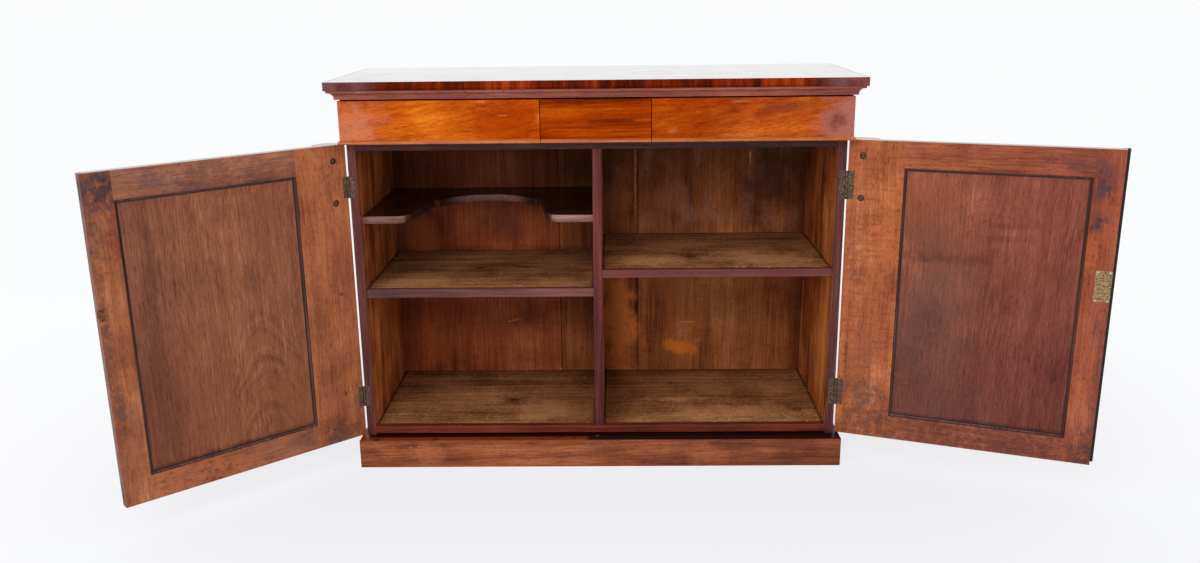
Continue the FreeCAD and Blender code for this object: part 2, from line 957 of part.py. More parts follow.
# ---------------------------------------------------------------- mouldings of the frieze
cornice_top_out = size.cornice_projection - size.cornice_step
cavetto_foot_out = size.cornice_foot_projection - size.cornice_step
cavetto_top = size.cornice_height - size.cornice_fillet_height
CORNICE_START = (0, ground_bottom)
CORNICE_RUNS = [
    (size.cornice_foot_projection, ground_bottom),
    (size.cornice_foot_projection, ground_bottom + size.cornice_foot_height),
    (cavetto_foot_out, ground_bottom + size.cornice_foot_height),
    arc(
        (
            cavetto_foot_out + (cornice_top_out - cavetto_foot_out) * QUARTER_LEAN,
            ground_bottom + cavetto_top - (cavetto_top - size.cornice_foot_height) * QUARTER_LEAN,
        ),
        (cornice_top_out, ground_bottom + cavetto_top),
    ),
    (size.cornice_projection, ground_bottom + cavetto_top),
    (size.cornice_projection, case_top),
    (0, case_top),
]
bead_round = size.bead_height - size.bead_quirk
BEAD_START = (0, frieze_bottom)
BEAD_RUNS = [
    (size.bead_base, frieze_bottom),
    arc(
        (size.bead_projection, frieze_bottom + bead_round / 2),
        (size.bead_base, frieze_bottom + bead_round),
    ),
    (size.bead_base, frieze_bottom + size.bead_height),
    (0, frieze_bottom + size.bead_height),
]
front_y = -size.frieze_front_overhang
side_run = size.case_depth + size.frieze_front_overhang


def side_moulding(side, start, runs, reach, depth, mitred):
    """A moulding along one side of the case, mitred at its front end if asked."""
    front_end = "outside" if mitred else "square"
    if side == LEFT:
        strip = moulding(start, runs, reach, "square", front_end, depth)
        return place(strip, -frieze_x, size.case_depth, 0, turned((0, 0, 1), -90))
    strip = moulding(start, runs, reach, front_end, "square", depth)
    return place(strip, frieze_x, size.case_depth - reach, 0, turned((0, 0, 1), 90))


node(
    "cornice_front",
    place(
        moulding(
            CORNICE_START, CORNICE_RUNS, 2 * frieze_x, "outside", "outside", size.cornice_projection
        ),
        -frieze_x,
        front_y,
    ),
)
node(
    "cornice_sides",
    *[
        side_moulding(side, CORNICE_START, CORNICE_RUNS, side_run, size.cornice_projection, True)
        for side in (LEFT, RIGHT)
    ],
)

# ---------------------------------------------------------------- top
top_x = frieze_x + size.cornice_projection + size.top_overhang
top_y = front_y - size.cornice_projection - size.top_overhang
slab_x = top_x - size.edging_thickness
slab_y = top_y + size.edging_thickness
top_z = (case_top, case_top + size.top_thickness)
node("top_board", board((-slab_x, slab_x), (slab_y, size.case_depth), top_z))
front_edging = board((-top_x, top_x), (top_y, slab_y), top_z)
side_edgings = [
    board((side * slab_x, side * top_x), (slab_y, size.case_depth), top_z) for side in (LEFT, RIGHT)
]
node(
    "top_edging",
    eased(front_edging, (0, top_y, top_z[0]), (0, top_y, top_z[1])),
    *[
        eased(
            strip,
            (side * top_x, (slab_y + size.case_depth) / 2, top_z[0]),
            (side * top_x, (slab_y + size.case_depth) / 2, top_z[1]),
        )
        for side, strip in zip((LEFT, RIGHT), side_edgings)
    ],
)

# ---------------------------------------------------------------- tablet and drawers
front_back_y = -size.seat_clearance
node(
    "tablet",
    cut(
        eased_board(
            (-tablet_half, tablet_half),
            (front_y, 0),
            (frieze_bottom, frieze_top),
            "aam",
            "bam",
            "mab",
        ),
        rod(
            size.bolt_socket_radius,
            size.bolt_socket_depth,
            socket_x,
            socket_y,
            frieze_bottom,
        ),
    ),
)
node(
    "fixed_beads",
    place(
        moulding(BEAD_START, BEAD_RUNS, size.tablet_width, "square", "square", size.bead_projection),
        -tablet_half,
        front_y,
    ),
    *[
        side_moulding(side, BEAD_START, BEAD_RUNS, size.case_depth, size.bead_projection, False)
        for side in (LEFT, RIGHT)
    ],
)


def drawer(side, side_name):
    """A frieze drawer: its front covers the case's edge, and its box runs behind it."""
    box_inner = partition_outer + size.drawer_clearance
    box_outer = inner_x - size.drawer_clearance
    box_back = back_inner_y - size.drawer_back_gap
    lap_y = front_back_y - size.dovetail_length
    side_z = (drawer_foot, drawer_foot + drawer_side_height)
    bottom_z = (
        drawer_foot + size.drawer_bottom_rise,
        drawer_foot + size.drawer_bottom_rise + size.drawer_bottom_thickness,
    )
    inner_side = (box_inner, box_inner + size.drawer_side_thickness)
    outer_side = (box_outer - size.drawer_side_thickness, box_outer)
    back_y = (box_back - size.drawer_side_thickness, box_back)

    def across(span):
        return (side * span[0], side * span[1])

    def tails(span):
        """The dovetails of one drawer side, flared towards the front's outer face."""
        pitch = drawer_side_height / DOVETAILS_ON_A_CORNER
        pieces = []
        for index in range(DOVETAILS_ON_A_CORNER):
            middle = drawer_foot + (index + 0.5) * pitch
            half = size.dovetail_height / 2
            root = half - size.dovetail_flare
            low_x, _ = ordered(across(span))
            pieces.append(
                prism(
                    "YZ_Plane",
                    (lap_y, middle - half),
                    [
                        (front_back_y, middle - root),
                        (front_back_y, middle + root),
                        (lap_y, middle + half),
                    ],
                    size.drawer_side_thickness,
                    at=(low_x, 0, 0),
                )
            )
        return pieces

    groove = board(
        across((inner_side[1] - size.drawer_bottom_groove, outer_side[0] + size.drawer_bottom_groove)),
        (front_back_y - size.drawer_bottom_groove, box_back),
        bottom_z,
    )
    front = eased_board(
        across((drawer_front_x, frieze_x)),
        (front_y, front_back_y),
        (frieze_bottom, frieze_top),
        "aam",
        "bam",
        "mab",
    )
    sockets = tails(inner_side) + tails(outer_side)
    node(f"{side_name}_drawer_front", cut(front, groove, *sockets))
    sides = []
    for span in (inner_side, outer_side):
        plank = board(across(span), (front_back_y, box_back), side_z)
        sides.append(cut(fused(plank, *tails(span)), groove))
    back = board(
        across((inner_side[1], outer_side[0])),
        back_y,
        (bottom_z[1], side_z[1] - size.edge_chamfer),
    )
    node(f"{side_name}_drawer_box", *sides, back)
    node(
        f"{side_name}_drawer_bottom",
        board(
            across((inner_side[1] - size.drawer_bottom_groove, outer_side[0] + size.drawer_bottom_groove)),
            (front_back_y - size.drawer_bottom_groove, box_back),
            bottom_z,
        ),
    )
    run = frieze_x - drawer_front_x
    reach = size.frieze_front_overhang - size.seat_clearance
    if side == LEFT:
        face = moulding(BEAD_START, BEAD_RUNS, run, "outside", "square", size.bead_projection)
        place(face, -frieze_x, front_y)
        end = moulding(BEAD_START, BEAD_RUNS, reach, "square", "outside", size.bead_projection)
        place(end, -frieze_x, front_back_y, 0, turned((0, 0, 1), -90))
    else:
        face = moulding(BEAD_START, BEAD_RUNS, run, "square", "outside", size.bead_projection)
        place(face, drawer_front_x, front_y)
        end = moulding(BEAD_START, BEAD_RUNS, reach, "outside", "square", size.bead_projection)
        place(end, frieze_x, front_y, 0, turned((0, 0, 1), 90))
    node(f"{side_name}_drawer_bead", face, end)


drawer(LEFT, "left")
drawer(RIGHT, "right")


# ---------------------------------------------------------------- hinges
def hinge_leaf(side, foot, own_knuckles, thickness_span, bore_radius, screw_turn):
    """A butt hinge's leaf with its own knuckles, about a pin at x = 0.

    The gaps between its knuckles leave room for the other leaf's. screw_turn is the way
    its screws point into the wood.
    """
    reach, _ = hinge_heights(side)
    direction = -side
    surface = thickness_span[0] if screw_turn is ALONG_Y else thickness_span[1]
    width = leaf_width(side)
    clear = size.knuckle_radius + size.knuckle_relief / 2
    pitch = reach / KNUCKLES_ON_A_HINGE
    plate = board((direction * clear, direction * width), thickness_span, (foot, foot + reach))
    pieces = [plate]
    for index in own_knuckles:
        low = foot + index * pitch + size.knuckle_joint / 2
        high = pitch - size.knuckle_joint
        pieces.append(rod(size.knuckle_radius, high, 0, 0, low))
        pieces.append(board((0, direction * clear), thickness_span, (low, low + high)))
    holes = [
        cone(
            size.hinge_screw_head_radius,
            size.hinge_screw_shank_radius,
            size.hinge_leaf_thickness,
            x,
            surface,
            z,
            screw_turn,
        )
        for x, z in leaf_screws(side, foot, 0, direction)
    ]
    return cut(fused(*pieces), rod(bore_radius, reach, 0, 0, foot), *holes)


def countersunk_screw(head_radius, shank_radius, reach, head_height, x, y, z, rotation):
    """A slotted screw whose head lies flush at y; its shank runs into the wood."""
    head = cone(head_radius, shank_radius, head_height, 0, 0, 0)
    shank = rod(shank_radius, reach - head_height, 0, 0, head_height)
    half = size.screw_slot_width / 2
    slot = board((-head_radius, head_radius), (-half, half), (0, size.screw_slot_depth))
    return place(cut(fused(head, shank), slot), x, y, z, rotation)


def hinge_screw(x, y, z, rotation):
    return countersunk_screw(
        size.hinge_screw_head_radius,
        size.hinge_screw_shank_radius,
        size.hinge_screw_length,
        size.hinge_leaf_thickness,
        x,
        y,
        z,
        rotation,
    )


CASE_KNUCKLES = (0, 2, 4)
DOOR_KNUCKLES = (1, 3)
leaf_depth = size.hinge_leaf_sink + size.hinge_leaf_thickness
case_leaf_y = (size.hinge_leaf_sink, leaf_depth)
door_leaf_y = (-(size.door_seat + leaf_depth), -(size.door_seat + size.hinge_leaf_sink))
door_bore = size.hinge_pin_radius + size.hinge_pin_clearance


leaves = []
pins = []
screws = []
for side in (LEFT, RIGHT):
    reach, feet = hinge_heights(side)
    for foot in feet:
        leaf = hinge_leaf(side, foot, CASE_KNUCKLES, case_leaf_y, size.hinge_pin_radius, ALONG_Y)
        leaves.append(place(leaf, side * pin_x))
        pins.append(rod(size.hinge_pin_radius, reach, side * pin_x, 0, foot))
        screws += [
            hinge_screw(side * x, case_leaf_y[0], z, ALONG_Y)
            for x, z in leaf_screws(side, foot, pin_x, -1)
        ]
node("case_hinges", *leaves, *pins)
node("case_hinge_screws", *screws)


# ---------------------------------------------------------------- doors
def groove_out():
    """Where the panel's groove lies through the door's thickness."""
    front = size.door_seat + size.panel_recess
    return front, front + size.panel_thickness


def tenon_out():
    middle = size.door_seat + size.door_thickness / 2
    return middle - size.tenon_thickness / 2, middle + size.tenon_thickness / 2


def frame_joinery(frame, low_rail, high_rail):
    """The mortises in the stiles, which are also the tenons on the rails."""
    pieces = []
    thickness = frame.out(*tenon_out())
    for low, high in (
        (door_bottom + size.tenon_shoulder, low_rail - size.tenon_shoulder),
        (high_rail + size.tenon_shoulder, door_top - size.tenon_shoulder),
    ):
        pieces.append([
            board(frame.span(stile_inner - size.tenon_length, stile_inner), thickness, (low, high)),
            board(
                frame.span(lock_stile_inner, lock_stile_inner + size.tenon_length),
                thickness,
                (low, high),
            ),
        ])
    return pieces


def console_counterbores(frame):
    holes = []
    for drop in (size.console_upper_screw_drop, size.console_lower_screw_drop):
        x = frame.along(size.console_screw_inset)
        z = door_top - drop
        y = -size.door_seat
        holes.append(rod(size.counterbore_radius, size.counterbore_depth, x, y, z, TO_THE_FRONT))
        holes.append(rod(size.console_screw_shank_radius, size.console_screw_reach, x, y, z, TO_THE_FRONT))
    return holes


def door_hinge_recess(side, frame):
    reach, feet = hinge_heights(side)
    pieces = []
    depth = size.door_seat + leaf_depth
    for foot in feet:
        pieces.append(board(frame.span(0, leaf_width(side)), frame.out(0, depth), (foot, foot + reach)))
        radius = size.knuckle_radius + size.knuckle_relief
        pieces.append(rod(radius, reach, 0, 0, foot))
        for x, z in leaf_screws(side, foot, 0, -side):
            pieces.append(screw_hole(x, -(size.door_seat + size.hinge_leaf_sink), z, TO_THE_FRONT))
    return pieces


def panel_moulding(frame, width, hollow, depth, inner_face):
    """Four mitred strips round one face of the panel, inside the door's frame."""
    nose = size.moulding_nose
    if inner_face:
        back = -(size.door_seat + size.panel_recess)
        face = 1
    else:
        back = -(size.door_seat + size.panel_recess + size.panel_thickness)
        face = -1
    start = (0, 0)
    runs = [
        (width, 0),
        (width, nose),
        arc((hollow, depth / 2), (nose, depth)),
        (0, depth),
    ]
    x_low, x_high = ordered(frame.span(stile_inner, lock_stile_inner))
    z_low = door_bottom + size.door_bottom_rail_width
    z_high = door_top - size.door_top_rail_width
    wide = x_high - x_low
    tall = z_high - z_low
    # Laid so that a strip's own Z comes out of the panel and its -Y points into the opening.
    lay = turned((1, 0, 0), -90 * face)
    low, high = (z_low, z_high) if inner_face else (z_high, z_low)
    near, far = (x_high, x_low) if inner_face else (x_low, x_high)
    strips = []
    for x, z, turn, reach in (
        (x_low, low, 0, wide),
        (near, z_low, 270, tall),
        (x_high, high, 180, wide),
        (far, z_high, 90, tall),
    ):
        strip = moulding(start, runs, reach, "inside", "inside", width)
        strips.append(place(strip, x, back, z, turned((0, 1, 0), turn) * lay))
    return strips


pilaster = (
    size.pin_to_door + size.pilaster_inset,
    size.pin_to_door + size.pilaster_inset + size.pilaster_width,
)


def console(frame):
    """A bracket in two scrolls under a cap, bowed in plan, against the stile's outer face."""
    foot = door_top - size.console_height
    cap = door_top - size.console_cap_height
    tip = door_face + size.console_projection

    def point(proud, height):
        return (-(door_face + proud), height)

    low, high = ordered(frame.span(*pilaster))
    side_profile = prism(
        "YZ_Plane",
        point(0, foot),
        [
            point(0, door_top),
            point(size.console_projection, door_top),
            point(size.console_projection, cap),
            point(size.console_neck, cap - size.console_cap_undercut),
            arc(
                point(size.console_bulge, cap - size.console_bulge_drop),
                point(size.console_hollow, cap - size.console_hollow_drop),
            ),
            arc(
                point(size.console_waist, cap - size.console_waist_drop),
                point(size.console_knee, cap - size.console_knee_drop),
            ),
            arc(
                point(size.console_scroll, foot + size.console_scroll_rise),
                point(size.console_waist, foot),
            ),
        ],
        size.pilaster_width,
        at=(low, 0, 0),
    )
    shoulder = tip - size.console_bow
    plan = prism(
        "XY_Plane",
        (low, -door_face),
        [
            (low, -shoulder),
            arc(((low + high) / 2, -tip), (high, -shoulder)),
            (high, -door_face),
        ],
        size.console_height,
        at=(0, 0, foot),
    )
    return common(side_profile, plan)


def console_screw(frame, drop):
    """A round-headed slotted screw from the counterbore into the back of the console."""
    floor = size.door_seat + size.counterbore_depth
    radius = size.console_screw_head_radius
    head = rod(radius, size.console_screw_head_height, 0, 0, -size.console_screw_head_height)
    shank = rod(size.console_screw_shank_radius, size.console_screw_reach - size.counterbore_depth, 0, 0, 0)
    half = size.screw_slot_width
    slot = board(
        (-radius, radius),
        (-half, half),
        (-size.console_screw_head_height, size.screw_slot_depth * 2 - size.console_screw_head_height),
    )
    item = cut(fused(head, shank), slot)
    return place(item, frame.along(size.console_screw_inset), -floor, door_top - drop, TO_THE_FRONT)


def flush_bolt(frame, at_top):
    """A bolt in the meeting edge: its plate with a slot, and the rod with its thumb piece."""
    end = door_top if at_top else door_bottom
    way = 1 if at_top else -1
    rod_end = end - way * size.bolt_end_gap
    rod_foot = rod_end - way * size.bolt_length
    plate_end = end - way * size.bolt_plate_end_gap
    plate_foot = plate_end - way * size.bolt_plate_length
    knob_end = rod_foot + way * size.bolt_knob_length
    slot_end = knob_end + way * (size.bolt_travel + size.bolt_clearance)
    slot_foot = rod_foot - way * size.bolt_clearance
    half_slot = size.bolt_slot_width / 2
    half_knob = half_slot - size.bolt_clearance
    half_plate = size.bolt_plate_width / 2
    x = frame.along(bolt_along)

    def across(half):
        return frame.out(bolt_out - half, bolt_out + half)

    def plate_board(half, heights):
        return board(frame.span(door_edge - size.bolt_plate_thickness, door_edge), across(half), heights)

    def bore(radius, heights):
        low, high = ordered(heights)
        return rod(radius, high - low, x, -bolt_out, low)

    plate = cut(
        plate_board(half_plate, (plate_foot, plate_end)),
        plate_board(half_slot, (slot_foot, slot_end)),
    )
    shaft = bore(size.bolt_radius, (rod_foot, rod_end))
    knob = board(
        frame.span(bolt_along, door_edge + size.bolt_knob_rise), across(half_knob), (rod_foot, knob_end)
    )
    recess = [
        bore(size.bolt_radius + size.bolt_clearance, (slot_foot, end)),
        plate_board(half_plate, (plate_foot, plate_end)),
        board(frame.span(bolt_along, door_edge), across(half_slot), (slot_foot, slot_end)),
    ]
    return plate, fused(shaft, knob), recess


def door(side, side_name, frame):
    low_rail = door_bottom + size.door_bottom_rail_width
    high_rail = door_top - size.door_top_rail_width
    groove = frame.out(*groove_out())
    depth = size.panel_groove_depth
    # The spans through the thickness run from the outer face to the inner one.
    thickness = frame.out(size.door_seat, door_face)
    bottom_tenons, top_tenons = frame_joinery(frame, low_rail, high_rail)
    panel_void = board(
        frame.span(stile_inner - depth, lock_stile_inner + depth),
        groove,
        (low_rail - depth, high_rail + depth),
    )
    height = (door_bottom, door_top)
    ends = ["mba", "mbb"]
    hinge_stile = eased_board(frame.span(size.pin_to_door, stile_inner), thickness, height, "abm", *ends)
    meeting = ["bbm"] if side == RIGHT else ["bbm", "bam"]
    lock_stile = eased_board(
        frame.span(lock_stile_inner, door_edge), thickness, height, *meeting, *ends
    )
    furniture = left_door_furniture(frame) if side == LEFT else right_door_furniture(frame)
    node(
        f"{side_name}_door_stiles",
        cut(
            hinge_stile,
            panel_void,
            bottom_tenons[0],
            top_tenons[0],
            *console_counterbores(frame),
            *door_hinge_recess(side, frame),
        ),
        cut(lock_stile, panel_void, bottom_tenons[1], top_tenons[1], *furniture),
        frame=frame,
    )
    rails = frame.span(stile_inner, lock_stile_inner)
    bottom_rail = cut(eased_board(rails, thickness, (door_bottom, low_rail), "mba"), panel_void)
    top_rail = cut(eased_board(rails, thickness, (high_rail, door_top), "mbb"), panel_void)
    node(
        f"{side_name}_door_rails",
        fused(bottom_rail, *bottom_tenons),
        fused(top_rail, *top_tenons),
        frame=frame,
    )
    tongue = depth - size.panel_edge_clearance
    node(
        f"{side_name}_door_panel",
        board(
            frame.span(stile_inner - tongue, lock_stile_inner + tongue),
            groove,
            (low_rail - tongue, high_rail + tongue),
        ),
        frame=frame,
    )
    outer_depth = size.door_thickness - size.panel_recess - size.panel_thickness
    node(
        f"{side_name}_door_mouldings",
        *panel_moulding(
            frame, size.inner_moulding_width, size.inner_moulding_hollow, size.panel_recess, True
        ),
        *panel_moulding(
            frame, size.outer_moulding_width, size.outer_moulding_hollow, outer_depth, False
        ),
        frame=frame,
    )
    drops = (size.console_upper_screw_drop, size.console_lower_screw_drop)
    tips = [
        rod(
            size.console_screw_shank_radius,
            size.console_screw_reach,
            frame.along(size.console_screw_inset),
            -size.door_seat,
            door_top - drop,
            TO_THE_FRONT,
        )
        for drop in drops
    ]
    node(f"{side_name}_console", cut(console(frame), *tips), frame=frame)
    foot_top = door_bottom + size.pilaster_foot_height
    console_foot = door_top - size.console_height
    node(
        f"{side_name}_pilaster",
        fused(
            board(
                frame.span(*pilaster),
                frame.out(door_face, door_face + size.pilaster_foot_thickness),
                (door_bottom, foot_top),
            ),
            board(
                frame.span(*pilaster),
                frame.out(door_face, door_face + size.pilaster_thickness),
                (foot_top, console_foot),
            ),
        ),
        frame=frame,
    )
    _, feet = hinge_heights(side)
    leaves = [
        hinge_leaf(side, foot, DOOR_KNUCKLES, door_leaf_y, door_bore, TO_THE_FRONT) for foot in feet
    ]
    node(f"{side_name}_door_hinge_leaves", *leaves, frame=frame)
    screws = [
        hinge_screw(x, door_leaf_y[1], z, TO_THE_FRONT)
        for foot in feet
        for x, z in leaf_screws(side, foot, 0, -side)
    ]
    screws += [console_screw(frame, drop) for drop in drops]
    if side == LEFT:
        screws += [
            countersunk_screw(
                size.keep_screw_head_radius,
                size.keep_screw_shank_radius,
                size.keep_screw_length,
                size.keep_thickness,
                frame.along(door_edge - size.keep_screw_inset),
                -size.door_seat,
                z,
                TO_THE_FRONT,
            )
            for z in keep_screw_heights
        ]
    node(f"{side_name}_door_screws", *screws, frame=frame)


def left_door_furniture(frame):
    """The keep and the two flush bolts; returns what the stile loses to them."""
    recesses = []
    plates = []
    for name, at_top in (("top_bolt", True), ("bottom_bolt", False)):
        plate, bolt, recess = flush_bolt(frame, at_top)
        plates.append(plate)
        recesses += recess
        node(name, bolt, frame=frame)
    node("bolt_plates", *plates, frame=frame)

    half_mouth = size.lock_bolt_height / 2 + size.keep_thickness
    half_bolt = size.lock_bolt_thickness / 2 + size.keep_thickness
    face = board(
        frame.span(door_edge - size.keep_width, door_edge),
        frame.out(size.door_seat, size.door_seat + size.keep_thickness),
        keep_z,
    )
    edge = board(
        frame.span(door_edge - size.keep_thickness, door_edge),
        frame.out(size.door_seat, lock_bolt_out + half_bolt + 2 * size.keep_thickness),
        keep_z,
    )
    mouth = board(
        frame.span(door_edge - size.keep_mortise_depth, door_edge),
        frame.out(lock_bolt_out - half_bolt, lock_bolt_out + half_bolt),
        (keep_middle - half_mouth, keep_middle + half_mouth),
    )
    x = frame.along(door_edge - size.keep_screw_inset)
    head_radius, shank_radius = size.keep_screw_head_radius, size.keep_screw_shank_radius
    countersinks = [
        cone(head_radius, shank_radius, size.keep_thickness, x, -size.door_seat, z, TO_THE_FRONT)
        for z in keep_screw_heights
    ]
    shanks = [
        rod(shank_radius, size.keep_screw_length, x, -size.door_seat, z, TO_THE_FRONT)
        for z in keep_screw_heights
    ]
    node("lock_keep", cut(fused(face, edge), mouth, *countersinks), frame=frame)
    recesses += [fused(face, edge), mouth, *shanks]
    return recesses


def keyhole(frame, radius, slot_width, slot_length, out_low, out_high):
    """A keyhole's shape through the door's thickness: a round over a downward slot."""
    x = frame.along(door_edge - size.keyhole_inset)
    z = lock_bottom + size.lock_height / 2
    return fused(
        rod(radius, out_high - out_low, x, -out_low, z, TO_THE_FRONT),
        board((x - slot_width / 2, x + slot_width / 2), frame.out(out_low, out_high), (z - slot_length, z)),
    )


def right_door_furniture(frame):
    """The lock, its bolt and the keyhole; returns what the stile loses to them."""
    lock_z = (lock_bottom, lock_bottom + size.lock_height)
    case_z = (lock_z[0] + size.lock_case_inset, lock_z[1] - size.lock_case_inset)
    seat = size.door_seat
    case_out = seat + size.lock_case_thickness
    plate = board(
        frame.span(door_edge - size.lock_plate_width, door_edge),
        frame.out(seat, seat + size.lock_plate_thickness),
        lock_z,
    )
    selvedge = board(
        frame.span(door_edge - size.lock_selvedge_thickness, door_edge),
        frame.out(seat, case_out + size.lock_plate_thickness),
        lock_z,
    )
    case = board(
        frame.span(door_edge - size.lock_plate_width + size.lock_case_inset, door_edge),
        frame.out(seat, case_out),
        case_z,
    )
    bolt_z = (
        lock_bottom + size.lock_bolt_rise,
        lock_bottom + size.lock_bolt_rise + size.lock_bolt_height,
    )
    half = size.lock_bolt_thickness / 2
    slack = size.lock_bolt_clearance
    channel = board(
        frame.span(door_edge - size.lock_bolt_length - slack, door_edge),
        frame.out(lock_bolt_out - half - slack, lock_bolt_out + half + slack),
        (bolt_z[0] - slack, bolt_z[1] + slack),
    )
    key_pin = rod(
        size.keyhole_radius,
        size.lock_plate_thickness,
        frame.along(door_edge - size.keyhole_inset),
        -(case_out - size.lock_plate_thickness),
        lock_bottom + size.lock_height / 2,
        TO_THE_FRONT,
    )
    pins = []
    for inset in (size.lock_pin_inset, size.lock_plate_width - size.lock_pin_inset):
        for z in (lock_z[0] + size.lock_pin_inset, lock_z[1] - size.lock_pin_inset):
            pins.append(
                rod(
                    size.lock_pin_radius,
                    size.lock_pin_height,
                    frame.along(door_edge - inset),
                    -(seat - size.lock_pin_height),
                    z,
                    TO_THE_FRONT,
                )
            )
    node("lock_case", cut(fused(plate, selvedge, case), channel, key_pin), *pins, frame=frame)
    node(
        "lock_bolt",
        board(
            frame.span(door_edge - size.lock_bolt_length, door_edge),
            frame.out(lock_bolt_out - half, lock_bolt_out + half),
            bolt_z,
        ),
        frame=frame,
    )
    rim = size.escutcheon_rim
    outer = (size.keyhole_radius + rim, size.keyhole_slot_width + 2 * rim, size.keyhole_slot_length + rim)
    inner = (size.keyhole_radius, size.keyhole_slot_width, size.keyhole_slot_length)
    seat_low = door_face - size.escutcheon_thickness
    node(
        "escutcheon",
        cut(keyhole(frame, *outer, seat_low, door_face), keyhole(frame, *inner, seat_low, door_face)),
        frame=frame,
    )
    overlap = door_edge + size.astragal_overlap
    start = door_edge - (size.astragal_width - size.astragal_overlap)
    top = door_face + size.astragal_thickness
    low, high = frame.along(start), frame.along(overlap)
    step_x = frame.along(door_edge)
    relief = door_face + size.astragal_relief
    node(
        "astragal",
        prism(
            "XY_Plane",
            (low, -door_face),
            [
                (step_x, -door_face),
                (step_x, -relief),
                (high, -relief),
                (high, -(door_face + size.astragal_thickness / 2)),
                arc(
                    ((low + high) / 2, -top),
                    (low, -(door_face + size.astragal_thickness / 2)),
                ),
            ],
            door_top - door_bottom,
            at=(0, 0, door_bottom),
        ),
        frame=frame,
    )
    return [
        fused(plate, selvedge, case),
        keyhole(frame, *outer, seat_low, door_face),
        keyhole(frame, *inner, case_out - size.lock_plate_thickness, door_face),
    ]


door(LEFT, "left", left_frame)
door(RIGHT, "right", right_frame)

# ---------------------------------------------------------------- check and write
doc.recompute()
for item in doc.Objects:
    if "Invalid" in item.State or "Error" in item.State:
        raise RuntimeError(f"{item.Name} ({item.Label}) could not be worked out")
for item in nodes:
    if item.Shape.isNull() or not item.Shape.isValid() or not item.Shape.Solids:
        raise RuntimeError(f"{item.Label} has no valid solid")

os.makedirs("parts", exist_ok=True)
for item in nodes:
    item.Shape.exportStep(f"parts/{item.Label}.step")
    print(f"{item.Label}: {len(item.Shape.Solids)} solids")
print(f"{len(nodes)} sub-parts")
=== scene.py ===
import math

import bmesh
import bpy
from mathutils import Matrix, Vector

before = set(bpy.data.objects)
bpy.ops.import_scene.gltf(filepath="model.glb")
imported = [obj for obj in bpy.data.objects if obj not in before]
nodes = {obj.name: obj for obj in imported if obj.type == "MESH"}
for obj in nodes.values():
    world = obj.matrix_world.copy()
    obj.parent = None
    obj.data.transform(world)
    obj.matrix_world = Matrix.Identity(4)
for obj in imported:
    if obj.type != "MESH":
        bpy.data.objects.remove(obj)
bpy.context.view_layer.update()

# ---------------------------------------------------------------- camera, floor and light
FRAME_WIDTH = 1200
FOCAL_PIXELS = 1048.26
SENSOR_WIDTH = 36.0
STANDPOINT = Vector((0.0426, -2.4201, 1.1384))
YAW = math.radians(-0.885)
PITCH = math.radians(15.524)
ROLL = math.radians(-0.654)


def linear(tone, alpha=1.0):
    """A tone given in 0 to 255 as the shader's own colour."""
    share = [channel / 255 for channel in tone]
    plain = [s / 12.92 if s <= 0.04045 else ((s + 0.055) / 1.055) ** 2.4 for s in share]
    return (*plain, alpha)


def set_camera():
    """Puts the camera at its standpoint, turned by its yaw, pitch and roll."""
    ahead = Vector(
        (math.sin(YAW) * math.cos(PITCH), math.cos(YAW) * math.cos(PITCH), -math.sin(PITCH))
    )
    level = Vector((math.cos(YAW), -math.sin(YAW), 0))
    upward = level.cross(ahead)
    right = level * math.cos(ROLL) + upward * math.sin(ROLL)
    up = upward * math.cos(ROLL) - level * math.sin(ROLL)
    data = bpy.data.cameras.new("camera")
    data.sensor_fit = "HORIZONTAL"
    data.sensor_width = SENSOR_WIDTH
    data.lens = FOCAL_PIXELS * SENSOR_WIDTH / FRAME_WIDTH
    data.clip_start = 0.05
    data.clip_end = 100
    camera = bpy.data.objects.new("camera", data)
    bpy.context.scene.collection.objects.link(camera)
    turn = Matrix((right, up, -ahead)).transposed().to_4x4()
    camera.matrix_world = Matrix.Translation(STANDPOINT) @ turn
    bpy.context.scene.camera = camera


def soft_light(name, place, aim, width, height, power):
    """A rectangular lamp that faces a point."""
    data = bpy.data.lights.new(name, "AREA")
    data.shape = "RECTANGLE"
    data.size = width
    data.size_y = height
    data.energy = power
    lamp = bpy.data.objects.new(name, data)
    bpy.context.scene.collection.objects.link(lamp)
    lamp.location = place
    lamp.rotation_mode = "QUATERNION"
    lamp.rotation_quaternion = (Vector(aim) - Vector(place)).to_track_quat("-Z", "Y")


# ---------------------------------------------------------------- finishes
ACROSS, THROUGH, UP = range(3)


def laid(marks, normal=THROUGH):
    """Marks on a flat face, placed in space.

    Each mark gives its middle and its half size along the two axes of its face, and then how it
    looks. The third axis, square to the face, is left free.
    """
    placed = []
    for first, second, wide, tall, *look in marks:
        middle, reach = [first, second], [wide, tall]
        middle.insert(normal, 0)
        reach.insert(normal, 0)
        placed.append((middle, reach, *look))
    return placed


